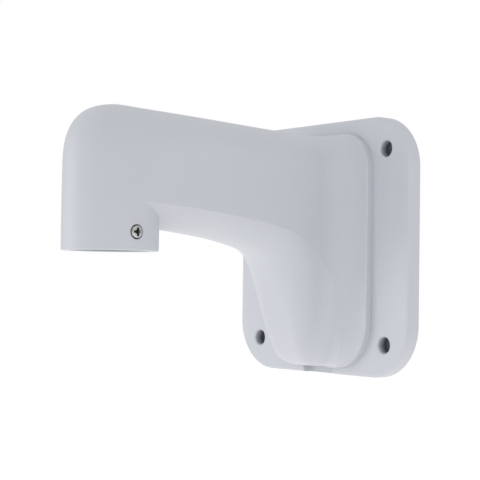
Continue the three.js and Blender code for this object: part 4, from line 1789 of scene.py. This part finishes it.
@dataclass
class LanyardHook:
    """The bent steel tab that the safety lanyard clips to, with its screw and washer.

    Attributes:
        width: Width of the tab.
        thick: Thickness of the steel.
        bend: Inner radius of the bend.
        eye: Radius of the eye.
        hole: Radius of the screw's hole.
        screw: The screw that holds it.
        washer: Inner radius, outer radius, height and easing of its washer.
        head: How far below the washer's seat the screw's head sits.
    """

    width: float = 14.0
    thick: float = 2.0
    bend: float = 1.6
    eye: float = 4.0
    hole: float = 2.7
    screw: PanScrew = PanScrew(2.1, 4.7, 2.9, 9.0, 0.7)
    washer: tuple[float, ...] = (2.7, 5.0, 1.2, 0.15)
    head: float = 1.5

    def tab(self) -> bpy.types.Object:
        """Sweep the strip: along the foot, round the bend and down to a half-round end.

        The strip's middle line is two straights joined by an arc; its width shrinks over the
        last stretch as the root of r^2 - d^2, which makes the end round.
        """
        low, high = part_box("lanyard_hook")
        top, near, drop, end = high.z / MM, high.y / MM, low.y / MM, low.z / MM
        half, radius = self.thick / 2, self.bend + self.thick / 2
        centre_y, centre_z = drop + half + radius, top - half - radius
        turn = quarter(8)
        line = [(near, top - half, 0.0, 1.0)]
        line += [(centre_y - radius * math.sin(a), centre_z + radius * math.cos(a),
                  -math.sin(a), math.cos(a)) for a in turn]
        tip = end + self.width / 2
        line += [(drop + half, tip - self.width / 2 * math.sin(a), -1.0, 0.0)
                 for a in quarter(12)]
        wide = [self.width / 2] * (len(turn) + 1)
        wide += [self.width / 2 * max(math.cos(a), 0.02) for a in quarter(12)]
        rows = []
        for (y, z, out_y, out_z), w in zip(line, wide):
            corners = [(-w, 1), (-w, -1), (w, -1), (w, 1)]
            rows.append([(x, y + out_y * half * side, z + out_z * half * side)
                         for x, side in corners])
        tab = piece_from(Shell().grid(np.array(rows, float)), "lanyard_hook_fine",
                         ((1, near), (2, end)))
        through = [(self.eye, -3.0), (self.eye, 3.0)]
        eye = turned("eye", through, "y", (0, drop + half, tip + 1), 40)
        through = [(self.hole, -3.0), (self.hole, 3.0)]
        cut(tab, eye, turned("hole", through, "z", (0, HOOK_Y, top - half)))
        soften(tab, 0.3)
        shade(tab)
        return tab

    def build(self, wardrobe: Wardrobe) -> None:
        """Build and dress the hook, its washer and its screw.

        Args:
            wardrobe: The materials.
        """
        wardrobe.dress(self.tab(), Slot.ZINC, "root", "lanyard_hook")
        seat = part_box("hook_screw_washer")[1].z / MM
        ring = washer("hook_screw_washer_fine", self.washer, "-z", (0, HOOK_Y, seat))
        wardrobe.dress(ring, Slot.ZINC, "root", "hook_screw_washer")
        screw = self.screw.build("hook_screw_fine", "-z", (0, HOOK_Y, seat - self.head))
        wardrobe.dress(screw, Slot.STAINLESS, "root", "hook_screw")


# ---- studio -----------------------------------------------------------------------------


@dataclass
class Studio:
    """Pale floor, soft light and the camera.

    Attributes:
        floor_z: Height of the floor in metres.
        place: Where the camera stands, in metres.
        yaw: How far it is turned towards -X, in degrees.
        pitch: How far it looks up, in degrees.
        roll: How far it leans, in degrees.
        lens: Focal length in millimetres on a 36 mm sensor.
        base: Mean strength of the surround.
        slope: How its strength changes along X, Y and Z.
        floor_colour: Colour of the floor.
        floor_glow: Colour of the light that the floor gives back.
        glow: Strength of that light.
        lamp_place: Where the soft light hangs, in metres.
        lamp_aim: The point it faces.
        lamp_size: Length of its side.
        lamp_watts: Its power.
    """

    floor_z: float = -0.42
    place: tuple[float, float, float] = (0.67747, -0.60764, -0.02558)
    yaw: float = 52.08
    pitch: float = 1.92
    roll: float = 0.867
    lens: float = 97.4
    base: float = 0.575
    slope: tuple[float, float, float] = (0.0, -0.02, 0.40)
    floor_colour: Colour = (0.95, 0.94, 0.93)
    floor_glow: Colour = (1.0, 0.98, 0.95)
    glow: float = 0.26
    lamp_place: tuple[float, float, float] = (-1.2, -1.25, 0.10)
    lamp_aim: tuple[float, float, float] = (0.0, -0.05, 0.0)
    lamp_size: float = 0.7
    lamp_watts: float = 3.6

    def camera(self) -> None:
        """Create the camera and make it the scene's own."""
        yaw, pitch, roll = map(math.radians, (self.yaw, self.pitch, self.roll))
        ahead = Vector((-math.sin(yaw) * math.cos(pitch), math.cos(yaw) * math.cos(pitch),
                        math.sin(pitch)))
        level = Vector((math.cos(yaw), math.sin(yaw), 0.0))
        above = level.cross(ahead)
        right = level * math.cos(roll) + above * math.sin(roll)
        up = above * math.cos(roll) - level * math.sin(roll)
        data = bpy.data.cameras.new("camera")
        data.lens, data.sensor_width = self.lens, 36.0
        data.clip_start, data.clip_end = 0.01, 50.0
        camera = bpy.data.objects.new("camera", data)
        turn = Matrix((right, up, -ahead)).transposed().to_4x4()
        camera.matrix_world = Matrix.Translation(self.place) @ turn
        bpy.context.scene.collection.objects.link(camera)
        bpy.context.scene.camera = camera

    def floor(self) -> None:
        """A wide pale floor."""
        rows = np.array([[(x, y, self.floor_z / MM) for x in (-6000.0, 6000.0)]
                         for y in (-6000.0, 6000.0)])
        mesh = Shell().grid(rows, close_ring=False).mesh("floor")
        floor = bpy.data.objects.new("floor", mesh)
        bpy.context.scene.collection.objects.link(floor)
        material = bpy.data.materials.new("floor")
        material.use_nodes = True
        Graph(material.node_tree).wire(material.node_tree.nodes["Principled BSDF"], {
            "Base Color": opaque(self.floor_colour), "Roughness": 0.9,
            "Emission Color": opaque(self.floor_glow), "Emission Strength": self.glow})
        mesh.materials.append(material)

    def lamp(self) -> None:
        """Hang a square soft light in front and to the left."""
        data = bpy.data.lights.new("left", "AREA")
        data.shape, data.size, data.energy = "SQUARE", self.lamp_size, self.lamp_watts
        lamp = bpy.data.objects.new("left", data)
        facing = (Vector(self.lamp_aim) - Vector(self.lamp_place)).to_track_quat("-Z", "Y")
        lamp.matrix_world = Matrix.Translation(self.lamp_place) @ facing.to_matrix().to_4x4()
        bpy.context.scene.collection.objects.link(lamp)

    def sky(self) -> None:
        """A white surround that is brighter above than below."""
        world = bpy.data.worlds.new("surround")
        world.use_nodes = True
        graph = Graph(world.node_tree)
        facing = graph.add("ShaderNodeSeparateXYZ", {"Vector": graph.add(
            "ShaderNodeTexCoord").outputs["Generated"]}).outputs
        light = self.base
        for axis, gain in zip("XYZ", self.slope):
            light = graph.math("ADD", graph.math("MULTIPLY", facing[axis], gain), light)
        level = graph.math("MAXIMUM", light, 0.05)
        seen = graph.add("ShaderNodeLightPath").outputs["Is Camera Ray"]
        graph.wire(world.node_tree.nodes["Background"], {
            "Color": (1.0, 1.0, 1.0, 1.0), "Strength": graph.math("MAXIMUM", level, seen)})
        bpy.context.scene.world = world
        bpy.context.scene.view_settings.view_transform = "Standard"

    def build(self) -> None:
        """Set up the camera, floor, surround and lamp."""
        self.camera()
        self.floor()
        self.sky()
        self.lamp()


def main() -> None:
    """Build the bracket in order."""
    logging.basicConfig(level=logging.INFO, format="%(message)s")
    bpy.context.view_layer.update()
    Studio().build()
    wardrobe = Wardrobe.build()
    ArmCasting().build(wardrobe)
    WallPlate().build(wardrobe)
    Seals().build(wardrobe)
    Fasteners().build(wardrobe)
    LanyardHook().build(wardrobe)


if __name__ == "__main__":
    main()
